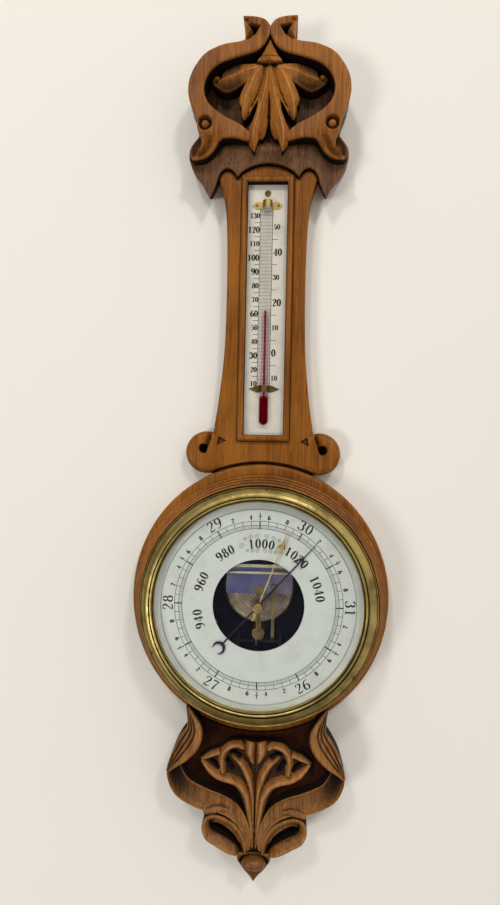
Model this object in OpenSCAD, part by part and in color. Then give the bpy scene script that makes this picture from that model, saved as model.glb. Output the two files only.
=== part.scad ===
// Banjo barometer: a carved oak case with an aneroid movement and a spirit thermometer.
// Seen from the front, X runs to the right and Z up, and the front faces -Y.
// The flat back lies in y = 0, and the hanging hole is centred on the origin.
// Depth is measured forward from the back: a piece at depth d lies at y = -d.

/* [Case] */
// Thickness of the neck and of the oak round
case_t = 20; // [18:0.5:24]
// Thickness of the crest block
crest_t = 26; // [22:0.5:32]
// Thickness of the base block
base_t = 20; // [16:0.5:24]
// Height of the carving above the crest block
crest_rise = 19; // [12:0.5:24]
// Height of the carving above the base block
base_rise = 22; // [12:0.5:26]
// Distance from the scale plate down to the oak round
foot_gap = 29.1; // [27:0.1:45]
// Width of the oak round's rim beside the moulding
rim_w = 3.8; // [1.5:0.1:13.5]
// Width of the oak round's rim above and below the moulding
rim_h = 9.3; // [4:0.1:15.5]
// Height of the centre of the oak round above the dial axis
round_lift = 1.5; // [0:0.1:3]
// Width of the neck at its waist
neck_waist = 80; // [72:1:92]
// Radius of the scroll ears at the foot of the neck
ear_r = 21.5; // [18:0.5:24]
// Oak left behind the movement
floor_t = 6; // [5:0.5:9]
// Diameter of the adjusting hole in the back
adjuster_hole_d = 10; // [8:0.5:12]
// Diameter of the dowels between the blocks
dowel_d = 6; // [5:0.5:8]
// Length of the dowels
dowel_l = 24; // [18:1:28]

/* [Hanging plate] */
// Diameter of the hanging hole
hanger_hole_d = 8; // [6:0.5:10]
// Width of the hanging plate
hanger_w = 30; // [26:1:36]
// Height of the hanging plate
hanger_h = 44; // [42:1:50]
// Thickness of the hanging plate
hanger_t = 2; // [1.8:0.1:3]
// Depth of the pocket for the head of the wall screw
hanger_pocket = 8; // [6:0.5:10]

/* [Thermometer] */
// Distance from the hanging hole down to the top of the scale plate
scale_drop = 87; // [86:0.5:92]
// Width of the scale plate
scale_w = 41.2; // [38:0.1:44]
// Height of the scale plate
scale_h = 256.6; // [250:0.1:262]
// Thickness of the scale plate
scale_t = 3; // [2:0.1:4]
// Depth of the recess from the neck's front to the front of the scale plate
scale_recess = 4; // [3:0.5:6]
// Width of the bead frame
bead_w = 6.8; // [5:0.1:8]
// Height of the bead frame above the front of the neck
bead_rise = 5.5; // [3:0.5:7]
// Outer diameter of the glass tube
tube_d = 7.6; // [6:0.1:8.4]
// Outer diameter of the bulb
bulb_d = 9.2; // [8.6:0.1:10]
// Diameter of the capillary
capillary_d = 2.4; // [1.6:0.1:3]
// Distance from the top of the scale plate down to the top of the tube
tube_gap_top = 17; // [15:0.5:19]
// Distance from the bottom of the bulb down to the bottom of the scale plate
tube_gap_foot = 10.6; // [9:0.1:14]
// Length of the bulb
bulb_l = 29; // [24:0.5:33]
// Height of the spirit column above the bulb
spirit_h = 87; // [20:1:180]

/* [Dial] */
// Diameter of the dial plate
dial_d = 217.6; // [200:0.1:240]
// Diameter of the opening in the dial
dial_hole_d = 89.6; // [80:0.1:94]
// Thickness of the dial plate
dial_t = 1.5; // [1:0.1:2]
// Distance from the edge of the dial plate in to the edge of the glass
glass_inset = 2.8; // [2.3:0.1:3.8]
// Thickness of the glass
glass_t = 3; // [2.5:0.1:4]
// Height of the sight ring between the dial and the glass
sight_h = 6; // [5:0.1:8]
// Distance that the bezel reaches beyond the dial plate
bezel_lap = 7.2; // [6.2:0.1:8.2]
// Distance that the bezel reaches in over the dial plate
bezel_cover = 7.6; // [6.3:0.1:8.8]
// Width of the reeded moulding beyond the bezel
moulding_w = 10.5; // [8:0.5:12]
// Length of the pressure hand from its axis to its tip
hand_l = 81; // [70:0.5:90]
// Length of the set hand from its axis to its tip
set_hand_l = 76; // [65:0.5:88]
// Diameter of the set hand's knob
knob_d = 10; // [8:0.5:13]
// Diameter of the set hand's stem
stem_d = 3; // [2.4:0.1:3.6]

/* [Movement] */
// Diameter of the movement's base plate
base_plate_d = 124; // [123.8:0.2:128]
// Thickness of the base plate
base_plate_t = 2.5; // [2:0.1:3.5]
// Diameter of the vacuum capsule
capsule_d = 70; // [62:0.5:71]
// Thickness of the vacuum capsule
capsule_t = 12; // [10:0.5:14]
// Distance from one ripple of the capsule to the next
ripple = 6; // [4:0.5:8]
// Diameter of the spring's hinge bar
spring_bar_d = 6; // [5:0.5:7]
// Thickness of the spring leaf
leaf_t = 1.2; // [0.8:0.1:1.6]
// Width of the spring leaf
leaf_w = 66; // [56:1:67]
// Diameter of the rocking bar
rocker_d = 2.4; // [2:0.1:3]
// Diameter of the hand's arbor
arbor_d = 1.8; // [1.4:0.1:2.2]
// Diameter of the drum that the chain winds on
drum_d = 2.4; // [2.2:0.1:3]
// Turns of the hairspring
hairspring_turns = 4; // [3:1:4]
// Outer radius of the hairspring
hairspring_r = 8; // [7.5:0.1:9]
// Thickness of the hairspring's wire
hairspring_wire = 0.6; // [0.4:0.1:0.7]
// Diameter of the adjusting screw
adjuster_d = 5; // [4:0.5:6]

/* [Clearances] */
// Radial clearance of a running fit
fit = 0.05; // [0.02:0.01:0.08]
// Clearance between pieces that pass each other
slack = 0.3; // [0.3:0.05:0.5]
// Gap along a glued joint between two curved edges
joint_gap = 0.2; // [0.1:0.05:0.4]

/* [Hidden] */
$fn = 96;

oak = "#8a4f1f";
dark_oak = "#4a2a17";
brass = "#b08d3c";
blued_steel = "#26304d";
steel = "#8d9094";
glass = "#cfe3e6";
enamel = "#e9ece8";
spirit = "#b01024";
plate_navy = "#161c2e";

// Rings of the dial, each from the one inside it
glass_d = dial_d - 2 * glass_inset;
bezel_open_d = dial_d - 2 * bezel_cover;
bezel_d = dial_d + 2 * bezel_lap;
moulding_d = bezel_d + 2 * moulding_w;
round_half_w = moulding_d / 2 + rim_w;
round_half_h = moulding_d / 2 + rim_h;

// Heights along the case
dial_z = -scale_drop - scale_h - foot_gap - round_half_h - round_lift;
round_z = dial_z + round_lift;
scale_top = -scale_drop;
scale_bottom = scale_top - scale_h;

// Depths of the thermometer
scale_front = case_t - scale_recess;
scale_back = scale_front - scale_t;
bead_front = case_t + bead_rise;
tube_depth = scale_front + bulb_d / 2 + fit;
tube_top = scale_top - tube_gap_top;
tube_bottom = scale_bottom + tube_gap_foot;
bulb_top = tube_bottom + bulb_l;
tube_wall = 1.1;
clip_h = 7;
clip_t = 0.8;
clip_half = 15.6;
clip_pin_x = 11;
clip_upper_z = tube_top - 5;
clip_lower_z = bulb_top + 8;
pin_d = 1.6;
pin_head_d = 2.8;
scale_screw_z = scale_top - 9.5;
scale_screw_d = 3;
scale_screw_head_d = 6;

// Depths of the movement, from the oak floor forward
plate_front = floor_t + base_plate_t;
capsule_seat = 2.8;
capsule_back = plate_front + capsule_seat;
capsule_front = capsule_back + capsule_t;
roll_inner = spring_bar_d / 2 + slack;
roll_outer = roll_inner + leaf_t;
spring_bar_depth = capsule_front + roll_outer + 2 * slack;
leaf_back = spring_bar_depth + roll_inner;
leaf_front = spring_bar_depth + roll_outer;
lever_t = 1.5;
lever_front = leaf_front + lever_t;
cock_back = leaf_front + 2.1;
cock_front = cock_back + 2;
hairspring_depth = cock_front + 1.6;
drum_depth = cock_front + 3.5;
rocker_depth = capsule_front + 3.7;

// Depths of the dial, from the dial's seat forward
dial_back = cock_front + 7.5;
dial_front = dial_back + dial_t;
bezel_seat = dial_front + 1;
glass_back = dial_front + sight_h;
glass_front = glass_back + glass_t;
bevel_t = 1.2;
lip_back = glass_front - bevel_t;
hand_t = 0.8;
hand_back = dial_front + 1.6;
hand_front = hand_back + hand_t;
set_hand_t = 0.6;
set_hand_back = hand_front + 1.6;
set_hand_front = set_hand_back + set_hand_t;
knob_back = glass_front + slack;
knob_l = 6;

// Plan of the movement, measured from the dial axis
capsule_z = 12;
spring_bar_z = 38;
leaf_foot_z = 9;
lever_x = 14;
lever_w = 3;
lever_top_z = 16;
rocker_z = -40;
rocker_half = 22.5;
post_d = 6;
crank_l = 8;
crank_t = 2.4;
chain_t = 0.7;
chain_x = -(drum_d / 2 + slack + chain_t / 2);
arm_w = 1.6;
arm_t = 1.2;
cock_foot_z = -30;
cock_pillar_r = 6;
bracket_x = 20;
bracket_t = 3;
cheek_x = 35;
cheek_t = 4;
cheek_foot_z = 31;
cheek_top_z = 48;
well_r = base_plate_d / 2 + 4;
plate_screw_r = 54;
plate_screw_angles = [90, 210, 330];
screw_d = 3.2;
screw_head_d = 6;
screw_head_t = 1.5;
screw_tip = 2;
bezel_screw_angles = [87, 205, 325];
bezel_screw_d = 1.6;
bezel_screw_head_d = 3;
bezel_flange = 3;
bezel_screw_r = bezel_d / 2 - 2;
hanger_screw_z = 17;
hanger_screw_d = 2.8;
hanger_screw_head_d = 6;
hanger_head_t = 1;
hanger_screw_l = 13;
hand_angle = 48;
set_hand_angle = 69.5;
collet_r = 3.2;

// Places of the dowels: two across each joint, given as [x, z of the joint]
dowel_depth = case_t / 2 - 1;
dowel_x = 26;
round_rise = round_half_h * sqrt(1 - pow(dowel_x / round_half_w, 2));
crest_dowel_x = 40;
crest_joint_z = -75;
dowel_places = [
    for (side = [-1, 1]) each [
        [side * crest_dowel_x, crest_joint_z],
        [side * dowel_x, round_z + round_rise],
        [side * dowel_x, round_z - round_rise]
    ]
];

// Points on a circular arc
function arc(cx, cz, r, from, to, n = 12) =
    [for (i = [0 : n]) let (a = from + (to - from) * i / n) [cx + r * cos(a), cz + r * sin(a)]];

// One point of a smooth curve between b and c, with a and d as its neighbours
function curve_point(a, b, c, d, t) =
    0.5 * (2 * b + (c - a) * t + (2 * a - 5 * b + 4 * c - d) * t * t + (3 * b - a - 3 * c + d) * t * t * t);

// Smooth curve through every given point
function smooth(p, n = 5) = let (last = len(p) - 1) concat(
    [for (i = [0 : last - 1], k = [0 : n - 1])
        curve_point(p[max(i - 1, 0)], p[i], p[i + 1], p[min(i + 2, last)], k / n)],
    [p[last]]);

// The other half of an outline, mirrored and in reverse order
function mirrored(p) = [for (i = [len(p) - 1 : -1 : 0]) [-p[i][0], p[i][1]]];

// Edge of the oak round, grown by a gap
function round_edge(grow = 0) =
    [for (a = [0 : 3 : 357]) [(round_half_w + grow) * cos(a), round_z + (round_half_h + grow) * sin(a)]];

// A front outline made solid between two depths
module slab(from, to) {
    translate([0, -from, 0]) rotate([90, 0, 0]) linear_extrude(to - from) children();
}

// A round bar along the depth at x, z
module peg(x, z, d, from, to) {
    translate([x, -from, z]) rotate([90, 0, 0]) cylinder(d = d, h = to - from);
}

// A solid turned about an axis along the depth, from [radius, depth] points
module turned(points, x = 0, z = dial_z) {
    translate([x, 0, z]) rotate([90, 0, 0]) rotate_extrude() polygon(points);
}

// A solid turned about an upright axis at a depth, from [radius, z] points
module turned_upright(points, depth) {
    translate([0, -depth, 0]) rotate_extrude() polygon(points);
}

// A slotted screw along the depth, with its head towards the front
module screw(x, z, d, head_d, tip, seat, head_t) {
    slot_w = head_d / 7;
    difference() {
        union() {
            peg(x, z, d, tip, seat);
            peg(x, z, head_d, seat, seat + head_t);
        }
        translate([x - head_d, -seat - head_t - 1, z - slot_w / 2]) cube([2 * head_d, 1 + head_t / 2, slot_w]);
    }
}

// Section of a carved strap: [share of the half width, share of the rise]
strap_section = [[-1, 0], [-1, 0.72], [-0.82, 0.94], [-0.4, 1], [0.4, 1], [0.82, 0.94], [1, 0.72], [1, 0]];

// A carved strap on a flat ground, from stations of [x, z, half width, rise]
module strap(stations, ground, n = 4) {
    s = smooth(stations, n);
    last = len(s) - 1;
    sides = len(strap_section);
    points = [for (i = [0 : last]) let (
            ahead = s[min(i + 1, last)] - s[max(i - 1, 0)],
            length = norm([ahead[0], ahead[1]]),
            across = [-ahead[1] / length, ahead[0] / length])
        each [for (p = strap_section) [
            s[i][0] + across[0] * p[0] * s[i][2],
            -(ground + p[1] * s[i][3]),
            s[i][1] + across[1] * p[0] * s[i][2]]]];
    walls = [for (i = [0 : last - 1], k = [0 : sides - 1]) let (
            a = i * sides + k,
            b = i * sides + (k + 1) % sides)
        each [[a, b, b + sides], [a, b + sides, a + sides]]];
    first_cap = [for (k = [sides - 1 : -1 : 0]) k];
    last_cap = [for (k = [0 : sides - 1]) last * sides + k];
    polyhedron(points, concat(walls, [first_cap, last_cap]));
}

// Joint between the crest and the neck: scallops over the shoulders and an arch between them
shoulder_end = [50.5, -83];
crest_joint = concat(
    smooth([[0, -69], [12, -70.7], [24, -76], [31, -83]]),
    smooth([[31, -83], [35.5, -76.5], [41.5, -74], [47, -77], shoulder_end]));

// Right half of the crest block, from the cleft at its top down to the joint
crest_half = concat(
    smooth([[0, 56], [4.5, 61.5], [11, 65.5], [27.2, 67]]),
    smooth([[27.2, 67], [25.8, 52], [25.5, 41.5]]),
    smooth([[25.5, 41.5], [42, 38.3], [57, 32.8], [67.5, 24.5], [76.5, 11], [79.5, -4], [77, -17],
        [72, -31], [71, -42]]),
    smooth([[71, -42], [79, -53], [80.5, -61], [79.5, -68], [75, -79], [67.5, -89], [58.5, -105]]),
    smooth([[58.5, -105], [53, -92], shoulder_end]));

// Right half of the neck's side, from the shoulder to the scroll ear
waist = neck_waist / 2;
ear_x = 57.5;
ear_z = round_z + round_half_h + 11.2;
neck_side = smooth([
    shoulder_end, [waist + 4.5, -103], [waist + 1.7, -124], [waist + 0.3, -158], [waist, -205],
    [waist + 1, ear_z + 108.5], [waist + 3.5, ear_z + 75.5], [waist + 7.5, ear_z + 42.5],
    [waist + 12, ear_z + 16.5], [ear_x, ear_z]]);
neck_foot_z = ear_z - ear_r;

// Top of the pendant, where its ribbons leave the moulding
ribbon_top_x = 68.8;
ribbon_clear = 6.65;
pendant_z = dial_z - sqrt(pow(moulding_d / 2 + ribbon_clear, 2) - pow(ribbon_top_x, 2));

// Right half of the base block, from the round down to the boss
base_foot_z = pendant_z - 133;
base_half = concat(
    smooth([[69.5, pendant_z + 10], [69.5, pendant_z - 13], [77, pendant_z - 27], [83, pendant_z - 38],
        [87, pendant_z - 50], [87.2, pendant_z - 59], [84.5, pendant_z - 70], [78, pendant_z - 79],
        [62, pendant_z - 89], [52.5, pendant_z - 95]]),
    smooth([[52.5, pendant_z - 95], [50, pendant_z - 106], [48, pendant_z - 116], [41, pendant_z - 123.5],
        [30, pendant_z - 127], [17, base_foot_z]]));

// Right half of the leaf on the crest: side lobe, outer hanging lobe, inner hanging lobe
leaf_top = 19.8;
leaf_half = concat(
    smooth([[14, leaf_top], [30, 21.3], [39, 18], [45.5, 13.5], [50, 10.5]]),
    smooth([[50, 10.5], [54.5, 13], [57.5, 8], [55, 0], [46, -6], [37, -5.5], [28, 0], [22, 5]]),
    smooth([[22, 5], [26.5, -4], [29.5, -12.5], [28.5, -22], [25.5, -33.5]]),
    smooth([[25.5, -33.5], [20, -28], [16.5, -21], [11, -16]]),
    smooth([[11, -16], [13, -28], [17, -38], [20, -46], [20.5, -53], [18, -61], [13.5, -66.5]]),
    smooth([[13.5, -66.5], [11.5, -59], [9, -52.5], [6, -51.5], [2.5, -44], [0.6, -34]]));

// Right half of the bud over the leaf, with its stepped collar
bud_half = [[0, 45], [8.5, 28.5], [9.8, 27], [13.8, 23], [14.2, leaf_top + slack]];
bud_rise = 18;
leaf_rise = 14;

// Right half of the spray on the base, from its top centre down its stem
spray_half = concat(
    smooth([[0, pendant_z - 29], [8, pendant_z - 27], [20, pendant_z - 29], [30, pendant_z - 33],
        [42, pendant_z - 39], [55, pendant_z - 45]]),
    smooth([[55, pendant_z - 45], [46, pendant_z - 53], [36, pendant_z - 60], [27, pendant_z - 63]]),
    smooth([[27, pendant_z - 63], [19, pendant_z - 73], [13, pendant_z - 85], [7, pendant_z - 101],
        [3.4, pendant_z - 117], [2, base_foot_z]]));
spray_rise = 15;

// Stations of the crest's scroll on the right: curl, shoulder, then the horn that runs to the leaf
scroll_stations = [
    [26, 63.6, 2.6, crest_rise - 4], [19, 63.2, 3.4, crest_rise - 2], [11.4, 61, 4.2, crest_rise],
    [6, 56.4, 4.5, crest_rise], [5.9, 50.2, 4.4, crest_rise], [10.8, 43.6, 4.8, crest_rise],
    [19, 37.9, 5.3, crest_rise], [30, 35, 5.8, crest_rise], [42, 32.8, 6.4, crest_rise],
    [54, 28, 7.2, crest_rise], [64, 20, 7.6, crest_rise], [71, 8.5, 7.9, crest_rise],
    [73, -4, 7.9, crest_rise], [70, -15.5, 7.9, crest_rise], [62, -24.5, 7.2, crest_rise - 1],
    [51.5, -32.5, 6.8, crest_rise - 2], [41, -39.5, 6.6, crest_rise - 3], [32.5, -44.5, 5.6, crest_rise - 4],
    [25.5, -48, 4, crest_rise - 6]];

// Stations of the crest's lower curl on the right, below the button
curl_stations = [
    [57, -46, 8.4, crest_rise - 2], [60, -54, 7.2, crest_rise - 2], [64, -61.3, 5.6, crest_rise - 4],
    [70.3, -66, 4, crest_rise - 6], [77, -66.5, 2.4, crest_rise - 8]];
button_x = 63;
button_z = -38;
button_r = 3.6;
button_rise = 14;

// Stations of the base's ribbon on the right: down the shoulder, round the corner and in to the stem
ribbon_stations = [
    [ribbon_top_x, pendant_z, 1, base_rise - 10], [65.5, pendant_z - 6, 4.4, base_rise - 4],
    [62, pendant_z - 15, 8, base_rise], [63.5, pendant_z - 24, 9.4, base_rise], [70, pendant_z - 35, 8.6, base_rise],
    [78.5, pendant_z - 46, 6.6, base_rise], [83, pendant_z - 58, 5, base_rise - 2],
    [78.5, pendant_z - 70, 6.8, base_rise - 4], [66, pendant_z - 77, 9, base_rise - 5],
    [50, pendant_z - 82, 9, base_rise - 5], [36, pendant_z - 86.8, 7.6, base_rise - 5],
    [24, pendant_z - 92.6, 6, base_rise - 5], [14, pendant_z - 102, 4, base_rise - 5],
    [7.6, pendant_z - 113.5, 2.6, base_rise - 6], [4.8, pendant_z - 123, 1.4, base_rise - 7]];

// Stations of the base's lower curl on the right: out from the stem, round its end and back to the boss
base_curl_stations = [
    [7.5, pendant_z - 125, 1.8, base_rise - 8], [12.8, pendant_z - 116, 2.7, base_rise - 6],
    [20.4, pendant_z - 107.5, 3.1, base_rise - 4], [29.5, pendant_z - 102, 3, base_rise - 3],
    [39, pendant_z - 99.4, 2.9, base_rise - 2], [46, pendant_z - 101.6, 3, base_rise - 2],
    [48.4, pendant_z - 108, 3.3, base_rise - 2], [44.6, pendant_z - 116.4, 4.3, base_rise - 2],
    [36, pendant_z - 121.6, 4.8, base_rise - 3], [27, pendant_z - 126, 4.4, base_rise - 5],
    [21, pendant_z - 131, 2.6, base_rise - 8]];

// Boss below the base
boss_z = pendant_z - 140;
boss_half_w = 13;
boss_half_h = 8.5;
boss_block_t = base_t + 10;
cup_half = concat(
    [[0, base_foot_z - joint_gap], [16.6, base_foot_z - joint_gap]],
    smooth([[16.6, base_foot_z - joint_gap], [16.2, pendant_z - 140], [10, pendant_z - 148.5],
        [3.5, pendant_z - 154.5], [0, pendant_z - 160]]));

// Oak case

module dowel_holes() {
    for (p = dowel_places)
        translate([p[0], -dowel_depth, p[1] - dowel_l / 2 - slack])
            cylinder(d = dowel_d + 2 * fit, h = dowel_l + 2 * slack);
}

module case_dowels() {
    color(oak)
        for (p = dowel_places)
            translate([p[0], -dowel_depth, p[1] - dowel_l / 2]) cylinder(d = dowel_d, h = dowel_l);
}

module neck_board() {
    top = [for (p = crest_joint) [p[0], p[1] - joint_gap]];
    side = concat(top, [for (p = neck_side) [p[0], p[1] - joint_gap]], [[ear_x, neck_foot_z]]);
    foot_x = ear_x - ear_r / 2;
    foot = concat(side, [[foot_x, neck_foot_z], [foot_x, round_z]]);
    color(oak)
        difference() {
            union() {
                slab(0, case_t) polygon(concat(foot, mirrored(foot)));
                for (s = [-1, 1]) peg(s * ear_x, ear_z, 2 * ear_r, 0, case_t);
            }
            slab(-1, case_t + 1) polygon(round_edge(joint_gap));
            scale_pocket();
            scale_screw_hole();
            clip_pin_holes();
            dowel_holes();
        }
}

// Stepped recess in the neck: the plate lies in the inner step and the beads in the outer one
module scale_pocket() {
    inner_w = scale_w + 2 * joint_gap;
    inner_h = scale_h + 2 * joint_gap;
    outer_w = bead_outer_w + 2 * joint_gap;
    outer_h = bead_outer_h + 2 * joint_gap;
    middle = (scale_top + scale_bottom) / 2;
    slab(scale_back, case_t + 1) translate([0, middle]) square([inner_w, inner_h], center = true);
    slab(scale_front, case_t + 1) translate([0, middle]) square([outer_w, outer_h], center = true);
}

module dial_round() {
    color(oak)
        difference() {
            slab(0, case_t) polygon(round_edge());
            peg(0, dial_z, 2 * well_r, floor_t, case_t + 1);
            peg(0, dial_z + capsule_z, adjuster_hole_d, -1, floor_t + 1);
            for (a = plate_screw_angles)
                peg(plate_screw_r * cos(a), dial_z + plate_screw_r * sin(a), screw_d + 2 * fit,
                    screw_tip - 0.5, floor_t + 1);
            dowel_holes();
        }
}

// Turned ring that carries the dial and the bezel, with three reeds down its outside
module dial_moulding() {
    seat_r = dial_d / 2 + slack;
    shelf_r = bezel_d / 2 + 1;
    foot_r = moulding_d / 2;
    reed_r = (foot_r - shelf_r) / 3;
    reed_step = (bezel_seat - case_t) / 3;
    reeds = [for (i = [0 : 2]) each concat(
        arc(shelf_r + i * reed_r, bezel_seat - reed_r - i * reed_step, reed_r, 90, 0, 6),
        [[shelf_r + (i + 1) * reed_r, bezel_seat - (i + 1) * reed_step]])];
    color(oak)
        difference() {
            turned(concat(
                [[well_r, case_t], [well_r, dial_back], [seat_r, dial_back], [seat_r, bezel_seat]],
                reeds));
            for (a = bezel_screw_angles)
                peg(bezel_screw_r * cos(a), dial_z + bezel_screw_r * sin(a), bezel_screw_d + 2 * fit,
                    bezel_seat - 7, bezel_seat + 1);
        }
}

module crest_block() {
    half = concat(crest_half, [for (i = [len(crest_joint) - 2 : -1 : 0]) crest_joint[i]]);
    color(dark_oak)
        difference() {
            slab(0, crest_t) polygon(concat(half, mirrored(half)));
            slab(-1, hanger_t) square([hanger_w + 2 * joint_gap, hanger_h + 2 * joint_gap], center = true);
            slab(0, hanger_t + hanger_pocket) square([2 * hanger_hole_d, 3 * hanger_hole_d], center = true);
            for (s = [-1, 1])
                peg(0, s * hanger_screw_z, hanger_screw_d + 2 * fit,
                    hanger_t - 1, hanger_head_t + hanger_screw_l + 1);
            dowel_holes();
        }
}

module crest_scroll() {
    color(oak) strap(scroll_stations, crest_t);
}

module crest_scroll_right() {
    crest_scroll();
}

module crest_scroll_left() {
    mirror([1, 0, 0]) crest_scroll();
}

module crest_curl() {
    color(oak) strap(curl_stations, crest_t);
}

module crest_curl_right() {
    crest_curl();
}

module crest_curl_left() {
    mirror([1, 0, 0]) crest_curl();
}

module crest_buttons() {
    neck = concat([[0, crest_t], [button_r, crest_t]],
        arc(0, crest_t + button_rise - button_r, button_r, 0, 90, 8));
    color(oak)
        for (s = [-1, 1]) turned(neck, s * button_x, button_z);
}

module crest_leaf() {
    color(oak) slab(crest_t, crest_t + leaf_rise) polygon(concat(leaf_half, mirrored(leaf_half)));
}

module crest_bud() {
    color(oak) slab(crest_t, crest_t + bud_rise) polygon(concat(bud_half, mirrored(bud_half)));
}

module base_block() {
    half = concat([[0, round_z - round_half_h / 2], [base_half[0][0], round_z - round_half_h / 2]], base_half);
    color(dark_oak)
        difference() {
            slab(0, base_t) polygon(concat(half, mirrored(half)));
            slab(-1, base_t + 1) polygon(round_edge(joint_gap));
            dowel_holes();
        }
}

module base_ribbon() {
    color(oak) strap(ribbon_stations, base_t);
}

module base_ribbon_right() {
    base_ribbon();
}

module base_ribbon_left() {
    mirror([1, 0, 0]) base_ribbon();
}

module base_curl() {
    color(oak) strap(base_curl_stations, base_t);
}

module base_curl_right() {
    base_curl();
}

module base_curl_left() {
    mirror([1, 0, 0]) base_curl();
}

module base_spray() {
    color(oak) slab(base_t, base_t + spray_rise) polygon(concat(spray_half, mirrored(spray_half)));
}

module base_boss() {
    ball = [for (a = [-90 : 7.5 : 90]) [boss_half_w * cos(a), boss_z + boss_half_h * sin(a)]];
    color(oak)
        difference() {
            union() {
                slab(0, boss_block_t) polygon(concat(cup_half, mirrored(cup_half)));
                turned_upright(ball, boss_block_t);
            }
            slab(-1, boss_block_t + boss_half_w + 1)
                translate([-boss_half_w - 1, base_foot_z - joint_gap])
                    square([2 * boss_half_w + 2, boss_half_h]);
        }
}

// Hanging plate

module hanging_plate() {
    color(brass)
        difference() {
            slab(0, hanger_t) square([hanger_w, hanger_h], center = true);
            peg(0, 0, hanger_hole_d, -1, hanger_t + 1);
            for (s = [-1, 1]) {
                peg(0, s * hanger_screw_z, hanger_screw_d + 2 * fit, -1, hanger_t + 1);
                peg(0, s * hanger_screw_z, hanger_screw_head_d + 2 * fit, -1, hanger_head_t);
            }
        }
}

module hanging_screws() {
    slot_w = hanger_screw_head_d / 7;
    color(brass)
        for (s = [-1, 1])
            difference() {
                union() {
                    peg(0, s * hanger_screw_z, hanger_screw_head_d, 0, hanger_head_t);
                    peg(0, s * hanger_screw_z, hanger_screw_d, hanger_head_t, hanger_head_t + hanger_screw_l);
                }
                translate([-hanger_screw_head_d, -hanger_head_t / 2, s * hanger_screw_z - slot_w / 2])
                    cube([2 * hanger_screw_head_d, hanger_head_t, slot_w]);
            }
}

// Thermometer

bead_lap = 0.6;
bead_inner_w = scale_w - 2 * bead_lap;
bead_inner_h = scale_h - 2 * bead_lap;
bead_outer_w = bead_inner_w + 2 * bead_w;
bead_outer_h = bead_inner_h + 2 * bead_w;

// Section of a bead: a round nose above a straight foot, from its inner edge outward
bead_section = concat(
    [[0, scale_front]],
    arc(bead_w / 2, bead_front - bead_w / 2, bead_w / 2, 180, 0, 10),
    [[bead_w, scale_front]]);

// A mitred strip along one side of the recess, from half its inner length and its distance from the middle
module bead_strip(half_length, reach) {
    end = half_length - joint_gap / 2;
    intersection() {
        translate([-half_length - bead_w, 0, 0])
            rotate([90, 0, 90]) linear_extrude(2 * (half_length + bead_w))
                polygon([for (p = bead_section) [-p[1], reach + p[0]]]);
        slab(0, bead_front + 1)
            polygon([[-end, reach], [end, reach],
                [end + bead_w, reach + bead_w], [-end - bead_w, reach + bead_w]]);
    }
}

module thermometer_beads() {
    color(oak)
        translate([0, 0, (scale_top + scale_bottom) / 2])
            for (turn = [0, 180]) {
                rotate([0, turn, 0]) bead_strip(bead_inner_w / 2, bead_inner_h / 2);
                rotate([0, turn + 90, 0]) bead_strip(bead_inner_h / 2, bead_inner_w / 2);
            }
}

module scale_screw_hole() {
    peg(0, scale_screw_z, scale_screw_d + 2 * fit, scale_front - 9, case_t);
}

module clip_pin_holes() {
    for (z = [clip_upper_z, clip_lower_z], s = [-1, 1])
        peg(s * clip_pin_x, z, pin_d + 2 * fit, scale_front - 6, scale_front + 2);
}

module thermometer_scale() {
    color(enamel)
        difference() {
            slab(scale_back, scale_front)
                translate([0, (scale_top + scale_bottom) / 2]) square([scale_w, scale_h], center = true);
            scale_screw_hole();
            clip_pin_holes();
        }
}

module scale_screw() {
    color(steel)
        screw(0, scale_screw_z, scale_screw_d, scale_screw_head_d, scale_front - 8, scale_front, screw_head_t);
}

// Half profile of the tube's outside, or of its hollow when it is drawn in by a wall
function tube_profile(bore_r, bulb_r, top, bottom, shoulder) = concat(
    [[0, top], [bore_r, top], [bore_r, shoulder + 2]],
    [[bulb_r, shoulder - 1]],
    arc(0, bottom + bulb_r, bulb_r, 0, -90, 10));

hollow_top = tube_top - 4;
hollow_bottom = tube_bottom + tube_wall;
hollow_bulb_r = bulb_d / 2 - tube_wall;

module thermometer_tube() {
    color(glass)
        difference() {
            turned_upright(tube_profile(tube_d / 2, bulb_d / 2, tube_top, tube_bottom, bulb_top), tube_depth);
            turned_upright(tube_profile(capillary_d / 2, hollow_bulb_r, hollow_top, hollow_bottom,
                bulb_top - tube_wall), tube_depth);
        }
}

module thermometer_spirit() {
    color(spirit)
        turned_upright(tube_profile(capillary_d / 2 - fit, hollow_bulb_r - fit, bulb_top + spirit_h,
            hollow_bottom + fit, bulb_top - tube_wall - fit), tube_depth);
}

// A strap over the tube: flat pointed wings on the plate and an arch round the glass
module tube_clip(z, point) {
    wing = [[clip_half - point, clip_h / 2], [clip_half, 0], [clip_half - point, -clip_h / 2]];
    arch_r = tube_d / 2 + slack + clip_t;
    difference() {
        translate([0, 0, z])
            union() {
                slab(scale_front, scale_front + clip_t) polygon(concat(wing, mirrored(wing)));
                slab(scale_front, tube_depth) square([2 * arch_r, clip_h], center = true);
                translate([0, -tube_depth, -clip_h / 2]) cylinder(r = arch_r, h = clip_h);
            }
        translate([0, -tube_depth, z - clip_h]) cylinder(r = tube_d / 2 + slack, h = 2 * clip_h);
        slab(-1, scale_front) translate([0, z]) square([3 * clip_half, 3 * clip_h], center = true);
        slab(0, tube_depth) translate([0, z]) square([tube_d + 2 * slack, 2 * clip_h], center = true);
        clip_pin_holes();
    }
}

module tube_clip_upper() {
    color(brass) tube_clip(clip_upper_z, 4);
}

module tube_clip_lower() {
    color(brass) tube_clip(clip_lower_z, 8);
}

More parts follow.
